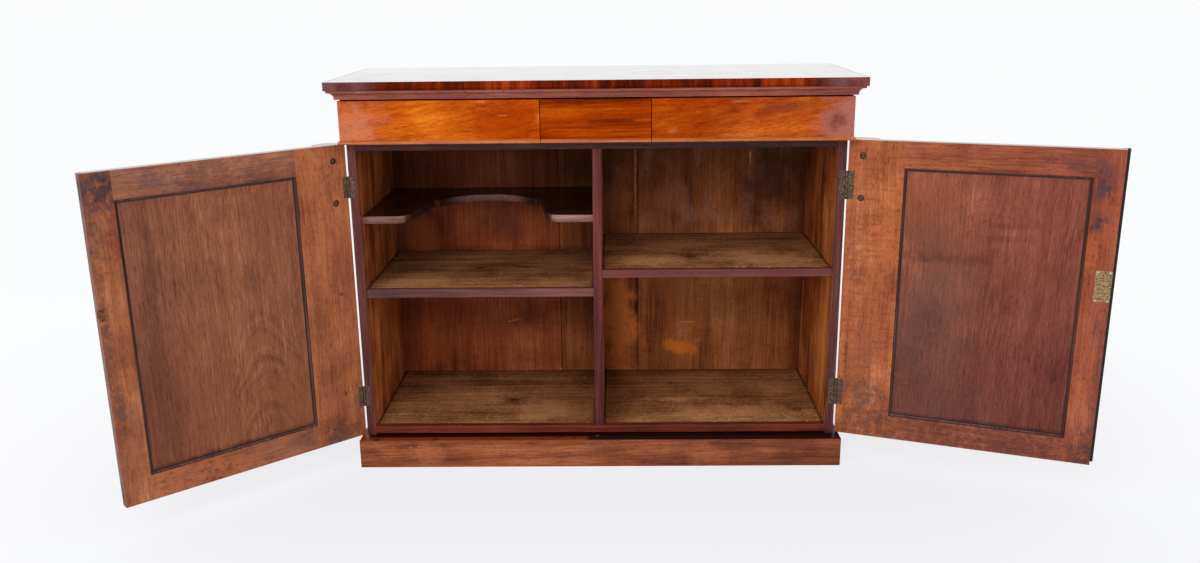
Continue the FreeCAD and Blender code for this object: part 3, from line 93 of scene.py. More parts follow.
class Signal:
    """A shader value. The usual signs on it add Math nodes."""

    def __init__(self, finish, socket):
        self.finish = finish
        self.socket = socket

    def worked(self, operation, *terms):
        return self.finish.add("ShaderNodeMath", {"operation": operation}, dict(enumerate(terms)))

    def __add__(self, other):
        return self.worked("ADD", self, other)

    def __radd__(self, other):
        return self.worked("ADD", other, self)

    def __sub__(self, other):
        return self.worked("SUBTRACT", self, other)

    def __rsub__(self, other):
        return self.worked("SUBTRACT", other, self)

    def __mul__(self, other):
        return self.worked("MULTIPLY", self, other)

    def __rmul__(self, other):
        return self.worked("MULTIPLY", other, self)

    def __truediv__(self, other):
        return self.worked("DIVIDE", self, other)

    def __rtruediv__(self, other):
        return self.worked("DIVIDE", other, self)

    def __abs__(self):
        return self.worked("ABSOLUTE", self)

    def root(self):
        return self.worked("SQRT", self)

    def lower(self, other):
        return self.worked("MINIMUM", self, other)

    def between(self, low, high):
        """0 at low, 1 at high, and a soft step from one to the other."""
        return self.finish.add(
            "ShaderNodeMapRange",
            {"interpolation_type": "SMOOTHSTEP"},
            {"Value": self, "From Min": low, "From Max": high},
        )


class Finish:
    """The nodes of a material, or of the light in the room."""

    def __init__(self, owner):
        owner.use_nodes = True
        self.owner = owner
        self.tree = owner.node_tree
        self.tree.nodes.clear()

    def add(self, kind, settings=None, inputs=None, output=0):
        """A node, with its settings first and then the value or link of each input."""
        node = self.tree.nodes.new(kind)
        for field, value in (settings or {}).items():
            if field == "stops":
                stops = node.color_ramp.elements
                while len(stops) < len(value):
                    stops.new(1.0)
                for stop, (position, tone) in zip(stops, value):
                    stop.position = position
                    stop.color = linear(tone)
            else:
                setattr(node, field, value)
        for key, value in (inputs or {}).items():
            if isinstance(value, Signal):
                self.tree.links.new(value.socket, node.inputs[key])
            else:
                node.inputs[key].default_value = value
        return Signal(self, node.outputs[output]) if node.outputs else None

    def place(self, pin=0.0, turn=0.0):
        """Where a point lies, in metres: on the case, or along, through and up a door."""
        point = self.add("ShaderNodeTexCoord", output="Object")
        if turn:
            point = self.add(
                "ShaderNodeMapping",
                {"vector_type": "TEXTURE"},
                {"Vector": point, "Location": (pin, 0, 0), "Rotation": (0, 0, turn)},
            )
        return [self.add("ShaderNodeSeparateXYZ", inputs={0: point}, output=i) for i in range(3)]

    def noise(self, x, y, z, detail=2.0, roughness=0.5):
        """Soft noise over a point in space, 0.5 in the mean."""
        point = self.add("ShaderNodeCombineXYZ", inputs={0: x, 1: y, 2: z})
        return self.add(
            "ShaderNodeTexNoise",
            inputs={"Vector": point, "Scale": 1.0, "Detail": detail, "Roughness": roughness},
        )

    def mix(self, share, first, second, blend="MIX"):
        """One colour going over into another as the share goes from 0 to 1."""
        colours = [c if isinstance(c, Signal) else linear(c) for c in (first, second)]
        return self.add(
            "ShaderNodeMix",
            {"data_type": "RGBA", "blend_type": blend},
            {0: share, 6: colours[0], 7: colours[1]},
            output=2,
        )

    def stained(self, colour, share, tone):
        """A colour under a see-through stain of a tone."""
        return self.mix(share, colour, tone, blend="MULTIPLY")

    def ramp(self, value, tones):
        """Tones from dark to light, spread over the middle of a value's reach."""
        step = 0.6 / (len(tones) - 1)
        stops = [(0.2 + step * number, tone) for number, tone in enumerate(tones)]
        return self.add("ShaderNodeValToRGB", {"stops": stops}, {"Fac": value})

    def surface(
        self, colour, roughness, gloss=0.5, coat=0.0, metallic=0.0, relief=None, depth=0.1
    ):
        """Closes the material. The depth of its relief is in millimetres."""
        inputs = {
            "Base Color": colour,
            "Roughness": roughness,
            "Metallic": metallic,
            "Specular IOR Level": gloss,
            "Coat Weight": coat,
            "Coat Roughness": 0.08,
        }
        if relief is not None:
            inputs["Normal"] = self.add(
                "ShaderNodeBump",
                inputs={"Strength": 1.0, "Distance": depth / 1000, "Height": relief},
            )
        shader = self.add("ShaderNodeBsdfPrincipled", inputs=inputs)
        self.add("ShaderNodeOutputMaterial", inputs={"Surface": shader})
        return self.owner


PORE_BROWN = (112, 66, 48)


class Timber(Finish):
    """Wood sawn from one log, with its grain along one axis.

    On a door, pin and turn say where its hinge is and how far it stands open, and side is -1
    where the door lies the other way round.
    """

    def __init__(self, name, grain, pin=0.0, turn=0.0, side=1, seed=0.0, slope=0.0, bow=0.02):
        super().__init__(bpy.data.materials.new(name))
        x, y, z = self.place(pin, turn)
        self.here = [x * side, y, z] if side != 1 else [x, y, z]
        self.seed = seed
        number = "xyz".index(grain)
        self.along = self.here[number]
        first, second = (self.here[axis] for axis in range(3) if axis != number)
        drift = self.noise(self.along * 2.2, first * 4.0 + seed, second * 4.0 - seed, detail=1.0)
        sway = (drift - 0.5) * (2 * bow) - self.along * slope
        self.first = first + sway
        self.second = second + sway

    def drawn(self, length, width, detail=3.0, roughness=0.55):
        """Noise drawn out along the grain: so many to the metre along it and across it."""
        return self.noise(
            self.along * length + self.seed,
            self.first * width,
            self.second * width,
            detail=detail,
            roughness=roughness,
        )

    def cloud(self, size, detail=2.0, shift=0.0):
        """Noise that is alike in all directions: so many clouds to the metre."""
        point = [axis * size + self.seed + shift for axis in self.here]
        return self.noise(*point, detail=detail, roughness=0.6)

    def figure(self, bands=0.5, streaks=0.7, lines=0.8, clouds=0.5, wide=11.0):
        """How light the wood is, from bands, streaks, fine lines and clouds; 0.5 in the mean."""
        return (
            (self.drawn(1.1, wide, detail=2.0) - 0.5) * bands
            + (self.drawn(2.6, wide * 4.5) - 0.5) * streaks
            + (self.drawn(9.0, wide * 22, detail=2.0) - 0.5) * lines
            + (self.cloud(7.0) - 0.5) * clouds
            + 0.5
        )

    def pores(self, share=0.4):
        """Short dark pores along the grain."""
        return self.drawn(75.0, 420.0, detail=1.0).between(0.54, 0.7) * share

    def spot(self, centre, reach, ragged=0.8, grit=30.0):
        """An uneven mark: 1 at its centre, 0 past its reach along each axis that has one."""
        spread = None
        for axis, middle, half in zip(self.here, centre, reach):
            if half:
                part = (axis - middle) / half
                spread = part * part if spread is None else spread + part * part
        edge = (self.cloud(grit, detail=4.0) - 0.5) * (3 * ragged)
        return (spread.root() + edge).between(1.1, 0.2)

    def marked(self, colour, marks, face=1.0, normal=THROUGH):
        """A colour with marks on one face, each with a tone, a strength and a grit."""
        for centre, reach, tone, strength, grit in laid(marks, normal):
            share = self.spot(centre, reach, grit=grit) * strength
            colour = self.mix(share * face, colour, tone)
        return colour

    def inked(self, colour, marks, face):
        """A colour with old ink spattered on one face, each mark with a strength and a tone."""
        spatter = self.cloud(70.0, detail=5.0, shift=7.0).between(0.3, 0.55)
        for centre, reach, strength, tone in laid(marks):
            share = self.spot(centre, reach, ragged=0.7, grit=26.0) * spatter
            colour = self.mix(share * face * strength, colour, tone)
        return colour

    def polished(self, colour, pores, roughness=0.35, gloss=0.2, coat=0.0, depth=0.06):
        """Closes the wood under an old polish that is dull in clouds and sinks into the pores."""
        wear = self.cloud(14.0, detail=3.0, shift=5.0)
        return self.surface(
            self.stained(colour, pores, PORE_BROWN),
            (wear - 0.5) * 0.35 + roughness,
            gloss=gloss,
            coat=coat,
            relief=0.5 - pores * 0.5 + (self.drawn(9.0, 260.0, detail=1.0) - 0.5) * 0.5,
            depth=depth,
        )


def put_on(material, *names):
    """Gives pieces of the frame their finish."""
    for name in names:
        node = nodes[name]
        if not node.material_slots:
            node.data.materials.append(material)
        for slot in node.material_slots:
            slot.material = material


# ---------------------------------------------------------------- room
FLOOR_HALF_WIDTH = 40.0


def lay_floor():
    """A pale floor that fades into the room, glowing as painted light."""
    finish = Finish(bpy.data.materials.new("studio_floor"))
    x, y, _ = finish.place()
    away = (x * x + y * y).root()
    # painted shade: the floor's tone is a little darker near the middle, round the chiffonier
    tone = finish.mix(away.between(0.6, 2.4), (244, 245, 249), (253, 254, 255))
    lit = finish.add("ShaderNodeBsdfDiffuse", inputs={"Color": tone})
    # painted light: the floor glows with its own tone, four parts in five of its shader
    bright = finish.add("ShaderNodeEmission", inputs={"Color": tone, "Strength": 1.0})
    both = finish.add("ShaderNodeMixShader", inputs={0: 0.8, 1: lit, 2: bright})
    finish.add("ShaderNodeOutputMaterial", inputs={"Surface": both})
    shape = bmesh.new()
    bmesh.ops.create_grid(shape, x_segments=1, y_segments=1, size=FLOOR_HALF_WIDTH)
    mesh = bpy.data.meshes.new("floor")
    shape.to_mesh(mesh)
    shape.free()
    mesh.materials.append(finish.owner)
    floor = bpy.data.objects.new("floor", mesh)
    bpy.context.scene.collection.objects.link(floor)


def light_room():
    """The light of the room, a little brighter where it is seen than where it shines."""
    room = Finish(bpy.data.worlds.new("studio"))
    bpy.context.scene.world = room.owner
    seen = room.add("ShaderNodeBackground", inputs={"Color": linear((251, 252, 253))})
    light = room.add(
        "ShaderNodeBackground", inputs={"Color": linear((254, 254, 255)), "Strength": 0.9}
    )
    camera = room.add("ShaderNodeLightPath", output="Is Camera Ray")
    gloss = room.add("ShaderNodeLightPath", output="Is Glossy Ray")
    direct = camera.worked("MAXIMUM", camera, gloss)
    both = room.add("ShaderNodeMixShader", inputs={0: direct, 1: light, 2: seen})
    room.add("ShaderNodeOutputWorld", inputs={"Surface": both})


set_camera()
bpy.context.scene.view_settings.view_transform = "Standard"
lay_floor()
light_room()
soft_light("window", place=(-1.4, -3.2, 2.6), aim=(0, 0, 0.4), width=2.4, height=1.8, power=52)


# ---------------------------------------------------------------- frieze, cornice and top
def frieze_finish(name, tones, seed, slope, marks=(), tints=(), streaks=0.8, flames=0.3):
    """A bright front of the frieze, streaked along, with tints that come on along its width."""
    wood = Timber(name, "x", seed=seed, slope=slope, bow=0.012)
    value = wood.figure(bands=0.8, streaks=streaks, lines=0.6, clouds=0.7, wide=14.0)
    flame = wood.drawn(2.2, 34.0, detail=4.0, roughness=0.6).between(0.52, 0.72)
    colour = wood.stained(wood.ramp(value, tones), flame * flames, (176, 108, 84))
    for near, away, tone in tints:
        colour = wood.stained(colour, wood.here[ACROSS].between(near, away), tone)
    colour = wood.marked(colour, marks)
    return wood.polished(colour, wood.pores(0.3), roughness=0.32, gloss=0.015)


put_on(
    frieze_finish(
        "left_drawer_mahogany",
        ((142, 54, 12), (180, 76, 12), (202, 96, 16), (220, 122, 30)),
        seed=3.1,
        slope=0.13,
        marks=(
            (-0.57, 0.86, 0.1, 0.09, (196, 114, 84), 0.85, 14.0),
            (-0.2, 0.85, 0.09, 0.07, (160, 56, 0), 0.6, 14.0),
            (-0.456, 0.84, 0.005, 0.005, (110, 66, 54), 0.8, 60.0),
            (-0.26, 0.898, 0.01, 0.003, (214, 140, 96), 0.4, 90.0),
            (-0.216, 0.867, 0.014, 0.002, (216, 140, 90), 0.4, 90.0),
            (-0.13, 0.86, 0.01, 0.014, (214, 120, 60), 0.5, 60.0),
        ),
        tints=((-0.32, -0.18, (236, 210, 120)),),
    ),
    "left_drawer_front",
)
put_on(
    frieze_finish(
        "right_drawer_mahogany",
        ((124, 44, 12), (160, 64, 14), (182, 82, 22), (204, 106, 36)),
        seed=8.7,
        slope=0.16,
        marks=(
            (0.58, 0.85, 0.08, 0.12, (166, 104, 94), 0.85, 18.0),
            (0.548, 0.85, 0.03, 0.028, (112, 58, 42), 0.7, 40.0),
            (0.42, 0.88, 0.09, 0.02, (140, 66, 32), 0.5, 26.0),
            (0.33, 0.894, 0.03, 0.004, (196, 116, 78), 0.5, 50.0),
            (0.175, 0.83, 0.02, 0.01, (190, 108, 66), 0.6, 40.0),
        ),
        tints=((0.36, 0.24, (230, 200, 120)),),
    ),
    "right_drawer_front",
)
put_on(
    frieze_finish(
        "tablet_mahogany",
        ((96, 26, 1), (134, 42, 0), (156, 56, 0), (178, 76, 4)),
        seed=5.5,
        slope=0.02,
        marks=(
            (-0.06, 0.895, 0.07, 0.009, (84, 26, 6), 0.8, 18.0),
            (0.04, 0.9, 0.05, 0.005, (98, 34, 8), 0.7, 18.0),
            (0.05, 0.852, 0.07, 0.006, (92, 30, 6), 0.8, 18.0),
            (-0.04, 0.838, 0.06, 0.004, (108, 40, 8), 0.6, 18.0),
            (0.06, 0.828, 0.05, 0.004, (100, 36, 8), 0.6, 18.0),
        ),
        streaks=1.0,
        flames=0.2,
    ),
    "tablet",
)


def plain_timber(name, grain, tones, roughness=0.35, gloss=0.2, wide=11.0, **lie):
    """A piece with no marks of its own."""
    wood = Timber(name, grain, **lie)
    colour = wood.ramp(wood.figure(wide=wide), tones)
    return wood.polished(colour, wood.pores(), roughness, gloss)


BEAD = ((138, 64, 24), (184, 96, 40), (214, 128, 66))
put_on(
    plain_timber("bead_mahogany", "x", BEAD, gloss=0.3),
    "fixed_beads",
    "left_drawer_bead",
    "right_drawer_bead",
)
SIDE_FRIEZE = ((110, 44, 14), (152, 68, 24), (180, 90, 34))
put_on(plain_timber("side_frieze_mahogany", "y", SIDE_FRIEZE, seed=2.0), "side_friezes")
CORNICE = ((106, 46, 34), (142, 70, 52), (170, 98, 76))
put_on(
    plain_timber("cornice_mahogany", "x", CORNICE, roughness=0.3, gloss=0.35),
    "cornice_front",
    "head_frame",
)
put_on(
    plain_timber("cornice_side_mahogany", "y", CORNICE, roughness=0.3, gloss=0.35),
    "cornice_sides",
)


def top_finish():
    """The top, under a thick clear polish."""
    wood = Timber("top_mahogany", "x", seed=4.0)
    tones = ((70, 34, 20), (104, 56, 32), (128, 74, 44), (150, 94, 60))
    colour = wood.ramp(wood.figure(wide=8.0), tones)
    return wood.polished(colour, wood.pores(0.3), roughness=0.16, gloss=0.8, coat=1.0, depth=0.01)


# Leaves of the banding that stand out: the middle, half the width, and how much lighter.
LEAVES = ((-0.2, 0.08, 0.18), (0.06, 0.06, -0.14), (0.3, 0.06, 0.2), (0.42, 0.06, 0.24))


def banding_finish():
    """Veneer laid with its grain upright, in short leaves of different figure."""
    band = Timber("cross_banding", "z", seed=9.0, bow=0.002)
    x, y, z = band.here
    bars = band.noise(x * 70.0, y * 70.0, z * 9.0, detail=5.0, roughness=0.7)
    leaves = band.noise(x * 3.6 + 1.3, y * 3.6, 0.0, detail=2.0)
    value = (bars - 0.5) * 0.9 + (leaves - 0.5) * 0.5 + 0.48
    for middle, half, lift in LEAVES:
        value = value + abs(x - middle).between(half, half * 0.6) * lift
    tones = ((30, 8, 4), (58, 15, 5), (88, 22, 3), (124, 36, 4), (158, 60, 18))
    colour = band.ramp(value, tones)
    # painted shade: the lowest strip of the edge is darker
    colour = band.stained(colour, z.between(0.934, 0.9305) * 0.5, (150, 110, 100))
    dull = abs(x).between(0.47, 0.56) * band.cloud(14.0).between(0.2, 0.5)
    colour = band.mix(dull * 0.7, colour, (122, 86, 84))
    return band.polished(colour, band.pores(0.3), roughness=0.24, gloss=0.02)


put_on(top_finish(), "top_board")
put_on(banding_finish(), "top_edging")


# ---------------------------------------------------------------- case
OUTSIDE = ((118, 44, 16), (156, 68, 24), (184, 92, 38), (206, 120, 60))
HALF_INSIDE = 0.559
HALF_DIVIDER = 0.0102
BAY_MIDDLE = 0.2846
BACK_JOINTS = (-0.111, 0.1045)
# Where one look of a piece ends and the next is full: across, through or up the case.
SIDE_OUTSIDE = (0.574, 0.579)
SIDE_FRONT = (0.0032, 0.0012)
SIDE_CORNER_SHADE = (0.385, 0.395)
BEHIND_LIPPING = (0.0185, 0.0165)
BACK_INSIDE = (0.3968, 0.396)
BACK_OUTSIDE = (0.403, 0.4055)
PLINTH_TOP = (0.0702, 0.0712)


def case_finish(name, tones, front, seed=0.0, marks=()):
    """A side of the case: dull inside, polished outside, with a dark polished front edge."""
    wood = Timber(name, "z", seed=seed)
    x, y, z = wood.here
    value = wood.figure(bands=0.7, streaks=1.1, lines=0.9, clouds=1.0)
    colour = wood.marked(wood.ramp(value, tones), marks, normal=ACROSS)
    # painted shade: the inside is darker towards the top of the case and into the back corner
    colour = wood.stained(colour, z.between(0.55, 0.78) * 0.35, (130, 110, 104))
    colour = wood.stained(colour, y.between(*SIDE_CORNER_SHADE) * 0.7, (90, 60, 44))
    colour = wood.mix(abs(x).between(*SIDE_OUTSIDE), colour, wood.ramp(value, OUTSIDE))
    dark = wood.ramp((wood.drawn(3.0, 120.0) - 0.5) * 1.6 + 0.5, front)
    colour = wood.mix(y.between(*SIDE_FRONT), colour, dark)
    return wood.polished(colour, wood.pores(), roughness=0.4, gloss=0.12)


CASE = ((104, 50, 24), (152, 80, 38), (184, 104, 52), (208, 132, 74))
# Dark front edges; their purple tint is a painted reflection of the pale room on dark red wood.
FRONT_EDGE = ((66, 32, 30), (92, 48, 44), (118, 68, 60))
put_on(
    case_finish(
        "left_side_mahogany",
        CASE,
        FRONT_EDGE,
        seed=1.0,
        marks=(
            (0.33, 0.74, 0.012, 0.14, (66, 32, 20), 0.9, 45.0),
            (0.16, 0.72, 0.018, 0.12, (118, 56, 22), 0.7, 45.0),
            (0.24, 0.7, 0.014, 0.1, (214, 122, 48), 0.6, 45.0),
            (0.1, 0.54, 0.04, 0.09, (104, 50, 24), 0.7, 45.0),
            (0.22, 0.3, 0.06, 0.14, (176, 104, 58), 0.4, 45.0),
        ),
    ),
    "left_side",
    "housing_filler",
)
put_on(
    case_finish(
        "right_side_mahogany",
        CASE,
        FRONT_EDGE,
        seed=6.0,
        marks=(
            (0.128, 0.62, 0.008, 0.075, (222, 138, 60), 0.9, 45.0),
            (0.06, 0.6, 0.03, 0.12, (112, 54, 24), 0.6, 45.0),
            (0.24, 0.3, 0.08, 0.12, (126, 66, 32), 0.5, 45.0),
            (0.1, 0.26, 0.05, 0.1, (190, 112, 56), 0.5, 45.0),
        ),
    ),
    "right_side",
)
# The divider's front edge: its purple tint is a painted reflection, as on the sides.
DIVIDER_EDGE = ((66, 26, 24), (92, 44, 40), (120, 60, 52))
put_on(case_finish("divider_mahogany", CASE, DIVIDER_EDGE, seed=3.7), "centre_divider")


def lipping_finish():
    """Lippings, purple-brown above and redder on the higher shelf and the bottom board."""
    wood = Timber("lipping_mahogany", "x", seed=6.3, bow=0.003)
    value = wood.figure(bands=0.5, streaks=0.8, lines=1.0, wide=24.0)
    # the purple of the upper lippings is partly a painted reflection of the pale room
    dark = wood.ramp(value, ((66, 32, 28), (96, 52, 44), (126, 74, 64)))
    red = wood.ramp(value, ((66, 16, 8), (104, 34, 14), (138, 60, 30)))
    dark = wood.mix(wood.here[UP].between(0.46, 0.47) * 0.6, dark, (104, 38, 34))
    colour = wood.mix(wood.here[UP].between(0.12, 0.1), dark, red)
    return wood.polished(colour, wood.pores(0.3), roughness=0.28, gloss=0.3)


put_on(lipping_finish(), "lippings")
# The door rail's tones are dark: painted shade from the frieze that overhangs it.
SHADED_RAIL = ((40, 20, 20), (64, 34, 32), (90, 52, 46))
put_on(plain_timber("rail_mahogany", "x", SHADED_RAIL, gloss=0.15, wide=20.0), "door_rail")


def plinth_finish(name, grain):
    """The plinth: streaked along, with a top arris that is orange at the left and black further
    right.
    """
    wood = Timber(name, grain, seed=7.0, slope=0.03, bow=0.012)
    value = wood.figure(bands=0.6, streaks=0.8, lines=0.8, clouds=0.6, wide=20.0)
    colour = wood.ramp(value, ((84, 38, 24), (124, 62, 34), (148, 80, 46), (170, 100, 60)))
    streak = wood.drawn(1.6, 46.0, detail=3.0).between(0.56, 0.68)
    colour = wood.stained(colour, streak * 0.3, (130, 86, 78))
    darker = wood.here[ACROSS].between(-0.2, 0.3)
    colour = wood.stained(colour, darker * 0.35, (212, 200, 220))
    for x, reach in ((-0.585, 0.06), (0.03, 0.05), (0.52, 0.09)):
        cloud = wood.spot((x, 0, 0.035), (reach, 0, 0.022), grit=18.0)
        colour = wood.stained(colour, cloud * 0.45, (160, 120, 126))
    for x, reach, strength in ((-0.44, 0.07, 0.5), (0.26, 0.08, 0.45)):
        bright = wood.spot((x, 0, 0.035), (reach, 0, 0.04), grit=14.0)
        colour = wood.mix(bright * strength, colour, (182, 104, 60))
    for x, z in ((-0.466, 0.053), (-0.446, 0.056), (-0.51, 0.053)):
        chip = wood.spot((x, 0, z), (0.005, 0, 0.002), ragged=0.5, grit=120.0)
        colour = wood.mix(chip * 0.45, colour, (200, 140, 116))
    top = wood.here[UP].between(*PLINTH_TOP)
    orange_part = wood.here[ACROSS].between(-0.022, -0.035) * wood.cloud(30.0).between(0.2, 0.5)
    strip = wood.mix(orange_part * 0.85, (34, 14, 12), (140, 60, 18))
    return wood.polished(wood.mix(top, colour, strip), wood.pores(), roughness=0.36, gloss=0.15)


put_on(plinth_finish("plinth_mahogany", "x"), "plinth_front")
put_on(plinth_finish("plinth_side_mahogany", "y"), "plinth_sides")


def back_finish():
    """Three upright boards of different planks, rubbed and scratched in places."""
    wood = Timber("back_mahogany", "z", seed=2.0, bow=0.008)
    x, y, z = wood.here
    left, right = (x.between(joint - 0.0003, joint + 0.0003) for joint in BACK_JOINTS)
    wood.first = wood.first + left * 3.7 + right * 2.3  # each board from another plank
    value = wood.figure(bands=0.6, streaks=0.5, lines=0.6, clouds=0.7, wide=12.0)
    red = wood.ramp(value, ((104, 46, 26), (142, 68, 38), (166, 86, 50), (190, 112, 72)))
    golden = wood.ramp(value, ((100, 50, 26), (146, 82, 44), (172, 102, 58), (196, 128, 80)))
    colour = wood.mix(left, red, golden)
    # painted shade: darker towards the top, under the shelf in the left bay, and at the top left
    upper_shade = z.between(0.5, 0.8)
    colour = wood.stained(colour, upper_shade * 0.75, (150, 140, 134))
    under_shelf_shade = z.between(0.17, 0.3) * z.between(0.47, 0.45) * x.between(0.02, -0.02)
    colour = wood.stained(colour, under_shelf_shade * 0.5, (176, 166, 162))
    shaded = x.between(0.36, 0.2) * z.between(0.56, 0.64)
    colour = wood.stained(colour, shaded * 0.4, (130, 118, 112))
    ripple = wood.noise(x * 16.0, 0.0, z * 120.0, detail=2.0).between(0.5, 0.74)
    colour = wood.stained(colour, ripple * z.between(0.5, 0.3) * 0.2, (160, 110, 92))
    bleached = wood.noise(x * 9.0, 0.0, z * 5.0, detail=5.0, roughness=0.7).between(0.5, 0.7)
    colour = wood.mix(bleached * right * z.between(0.45, 0.55) * 0.22, colour, (190, 168, 156))
    marks = (
        (0.222, 0.166, 0.066, 0.03, (226, 128, 48), 0.9, 26.0),
        (0.236, 0.237, 0.036, 0.0022, (230, 134, 52), 1.0, 90.0),
        (0.245, 0.212, 0.024, 0.0018, (214, 124, 60), 0.8, 90.0),
        (0.215, 0.196, 0.03, 0.0016, (206, 118, 56), 0.7, 90.0),
        (-0.256, 0.241, 0.01, 0.0028, (216, 130, 64), 1.0, 60.0),
        (-0.243, 0.245, 0.01, 0.003, (232, 140, 70), 1.0, 60.0),
        (-0.23, 0.249, 0.01, 0.0028, (216, 130, 64), 1.0, 60.0),
        (-0.115, 0.098, 0.006, 0.005, (236, 130, 70), 0.8, 90.0),
        (0.098, 0.62, 0.004, 0.14, (200, 118, 62), 0.8, 60.0),
        (0.408, 0.7, 0.003, 0.02, (226, 176, 128), 0.9, 90.0),
        (0.45, 0.64, 0.1, 0.2, (60, 32, 22), 0.7, 12.0),
        (0.2, 0.6, 0.05, 0.1, (190, 120, 84), 0.4, 12.0),
        (0.05, 0.58, 0.04, 0.1, (180, 108, 66), 0.5, 12.0),
        (0.34, 0.28, 0.09, 0.08, (84, 38, 24), 0.35, 12.0),
        (-0.48, 0.2, 0.05, 0.12, (186, 96, 50), 0.4, 12.0),
        (-0.5, 0.5, 0.05, 0.07, (176, 92, 50), 0.5, 12.0),
        (-0.27, 0.53, 0.08, 0.08, (82, 44, 36), 0.6, 10.0),
        (0.1, 0.3, 0.006, 0.19, (56, 26, 17), 0.9, 30.0),
        (0.05, 0.18, 0.07, 0.2, (222, 128, 66), 1.0, 14.0),
        (0.25, 0.4, 0.003, 0.06, (70, 34, 24), 0.7, 40.0),
        (-0.3, 0.5, 0.0016, 0.14, (190, 108, 66), 0.6, 20.0),
        (-0.43, 0.4, 0.002, 0.08, (190, 104, 50), 0.6, 20.0),
        (-0.2, 0.25, 0.07, 0.1, (72, 32, 18), 0.6, 12.0),
        (-0.2, 0.14, 0.06, 0.05, (84, 40, 24), 0.3, 12.0),
    )
    colour = wood.marked(colour, marks, y.between(*BACK_INSIDE))
    # painted shade: darker towards the sides of each bay
    corner_grime_and_shade = abs(abs(x) - BAY_MIDDLE).between(0.19, 0.272) * 0.62
    colour = wood.stained(colour, corner_grime_and_shade, (120, 96, 88))
    for joint in BACK_JOINTS:
        colour = wood.stained(colour, abs(x - joint).between(0.002, 0.0006) * 0.8, (60, 36, 28))
    rough = wood.ramp(value, ((92, 62, 42), (124, 88, 60), (150, 110, 78)))
    colour = wood.mix(y.between(*BACK_OUTSIDE), colour, rough)
    return wood.polished(colour, wood.pores(), roughness=0.5, gloss=0.05)


put_on(back_finish(), "back_boards")


SHELF = ((92, 54, 32), (138, 90, 54), (164, 112, 72), (188, 136, 92))
SHELF_ENDS = (-HALF_INSIDE, -HALF_DIVIDER, HALF_DIVIDER, HALF_INSIDE)
RUBBED = (204, 146, 100)
DUST = (222, 206, 180)


def shelf_finish(name, seed, rubs, knots, darker=0.0):
    """A stained pine board, rubbed pale where things slid over it; grime and painted shade at its
    edges.
    """
    wood = Timber(name, "x", seed=seed, bow=0.008)
    speckle = (wood.cloud(110.0, detail=4.0, shift=1.0) - 0.5) * 0.6
    value = wood.figure(bands=0.5, streaks=0.8, lines=0.9, clouds=0.8, wide=18.0) + speckle
    colour = wood.ramp(value, SHELF)
    for centre, reach, strength in laid(rubs, UP):
        worn = wood.spot(centre, reach, ragged=1.0, grit=13.0)
        colour = wood.mix(worn * strength, colour, RUBBED)
    for centre, reach in laid(knots, UP):
        halo = wood.spot(centre, [2.2 * half for half in reach], grit=30.0)
        colour = wood.stained(colour, halo * 0.5, (120, 80, 60))
        heart = wood.spot(centre, reach, ragged=0.4, grit=80.0)
        colour = wood.stained(colour, heart * 0.85, (70, 40, 26))
    x, y, _ = wood.here
    # grime and painted shade: darker along the back, towards the back, and at each end
    corner_grime_and_shade = y.between(0.383, 0.394) + y.between(0.2, 0.39) * 0.2
    for end in SHELF_ENDS:
        corner_grime_and_shade = corner_grime_and_shade + abs(x - end).between(0.009, 0.002)
    colour = wood.stained(colour, corner_grime_and_shade * 0.75, (70, 52, 44))
    colour = wood.stained(colour, abs(x).between(0.12, 0.03) * darker, (150, 132, 120))
    near = y.between(0.2, 0.02) * x.between(0.1, 0.4)
    dust = (wood.cloud(170.0, detail=0.0, shift=2.0) + near * 0.06).between(0.77, 0.82)
    colour = wood.mix(dust * 0.7, colour, DUST)
    # near-black at the front, under the lipping: the board's dark edge with painted shadow on it
    colour = wood.mix(y.between(*BEHIND_LIPPING), colour, (30, 13, 10))
    return wood.polished(colour, wood.pores(0.5), roughness=0.6, gloss=0.08, depth=0.15)


put_on(
    shelf_finish(
        "shelf_pine",
        seed=1.5,
        rubs=(
            (-0.43, 0.07, 0.12, 0.07, 0.4),
            (-0.1, 0.06, 0.1, 0.06, 0.4),
            (0.14, 0.09, 0.14, 0.08, 0.8),
            (0.4, 0.11, 0.17, 0.1, 0.8),
        ),
        knots=(
            (-0.309, 0.204, 0.014, 0.008),
            (-0.19, 0.21, 0.02, 0.007),
            (0.228, 0.126, 0.007, 0.003),
        ),
    ),
    "shelf_boards",
)
put_on(
    shelf_finish(
        "bottom_pine",
        seed=4.2,
        rubs=(
            (-0.12, 0.1, 0.12, 0.08, 0.6),
            (0.08, 0.03, 0.08, 0.03, 0.5),
            (0.36, 0.08, 0.17, 0.06, 0.6),
            (0.2, 0.17, 0.1, 0.025, 0.8),
        ),
        knots=(
            (-0.227, 0.172, 0.018, 0.012),
            (0.235, 0.235, 0.006, 0.004),
            (0.19, 0.29, 0.006, 0.004),
        ),
        darker=0.4,
    ),
    "bottom_board",
    "dust_board",
)


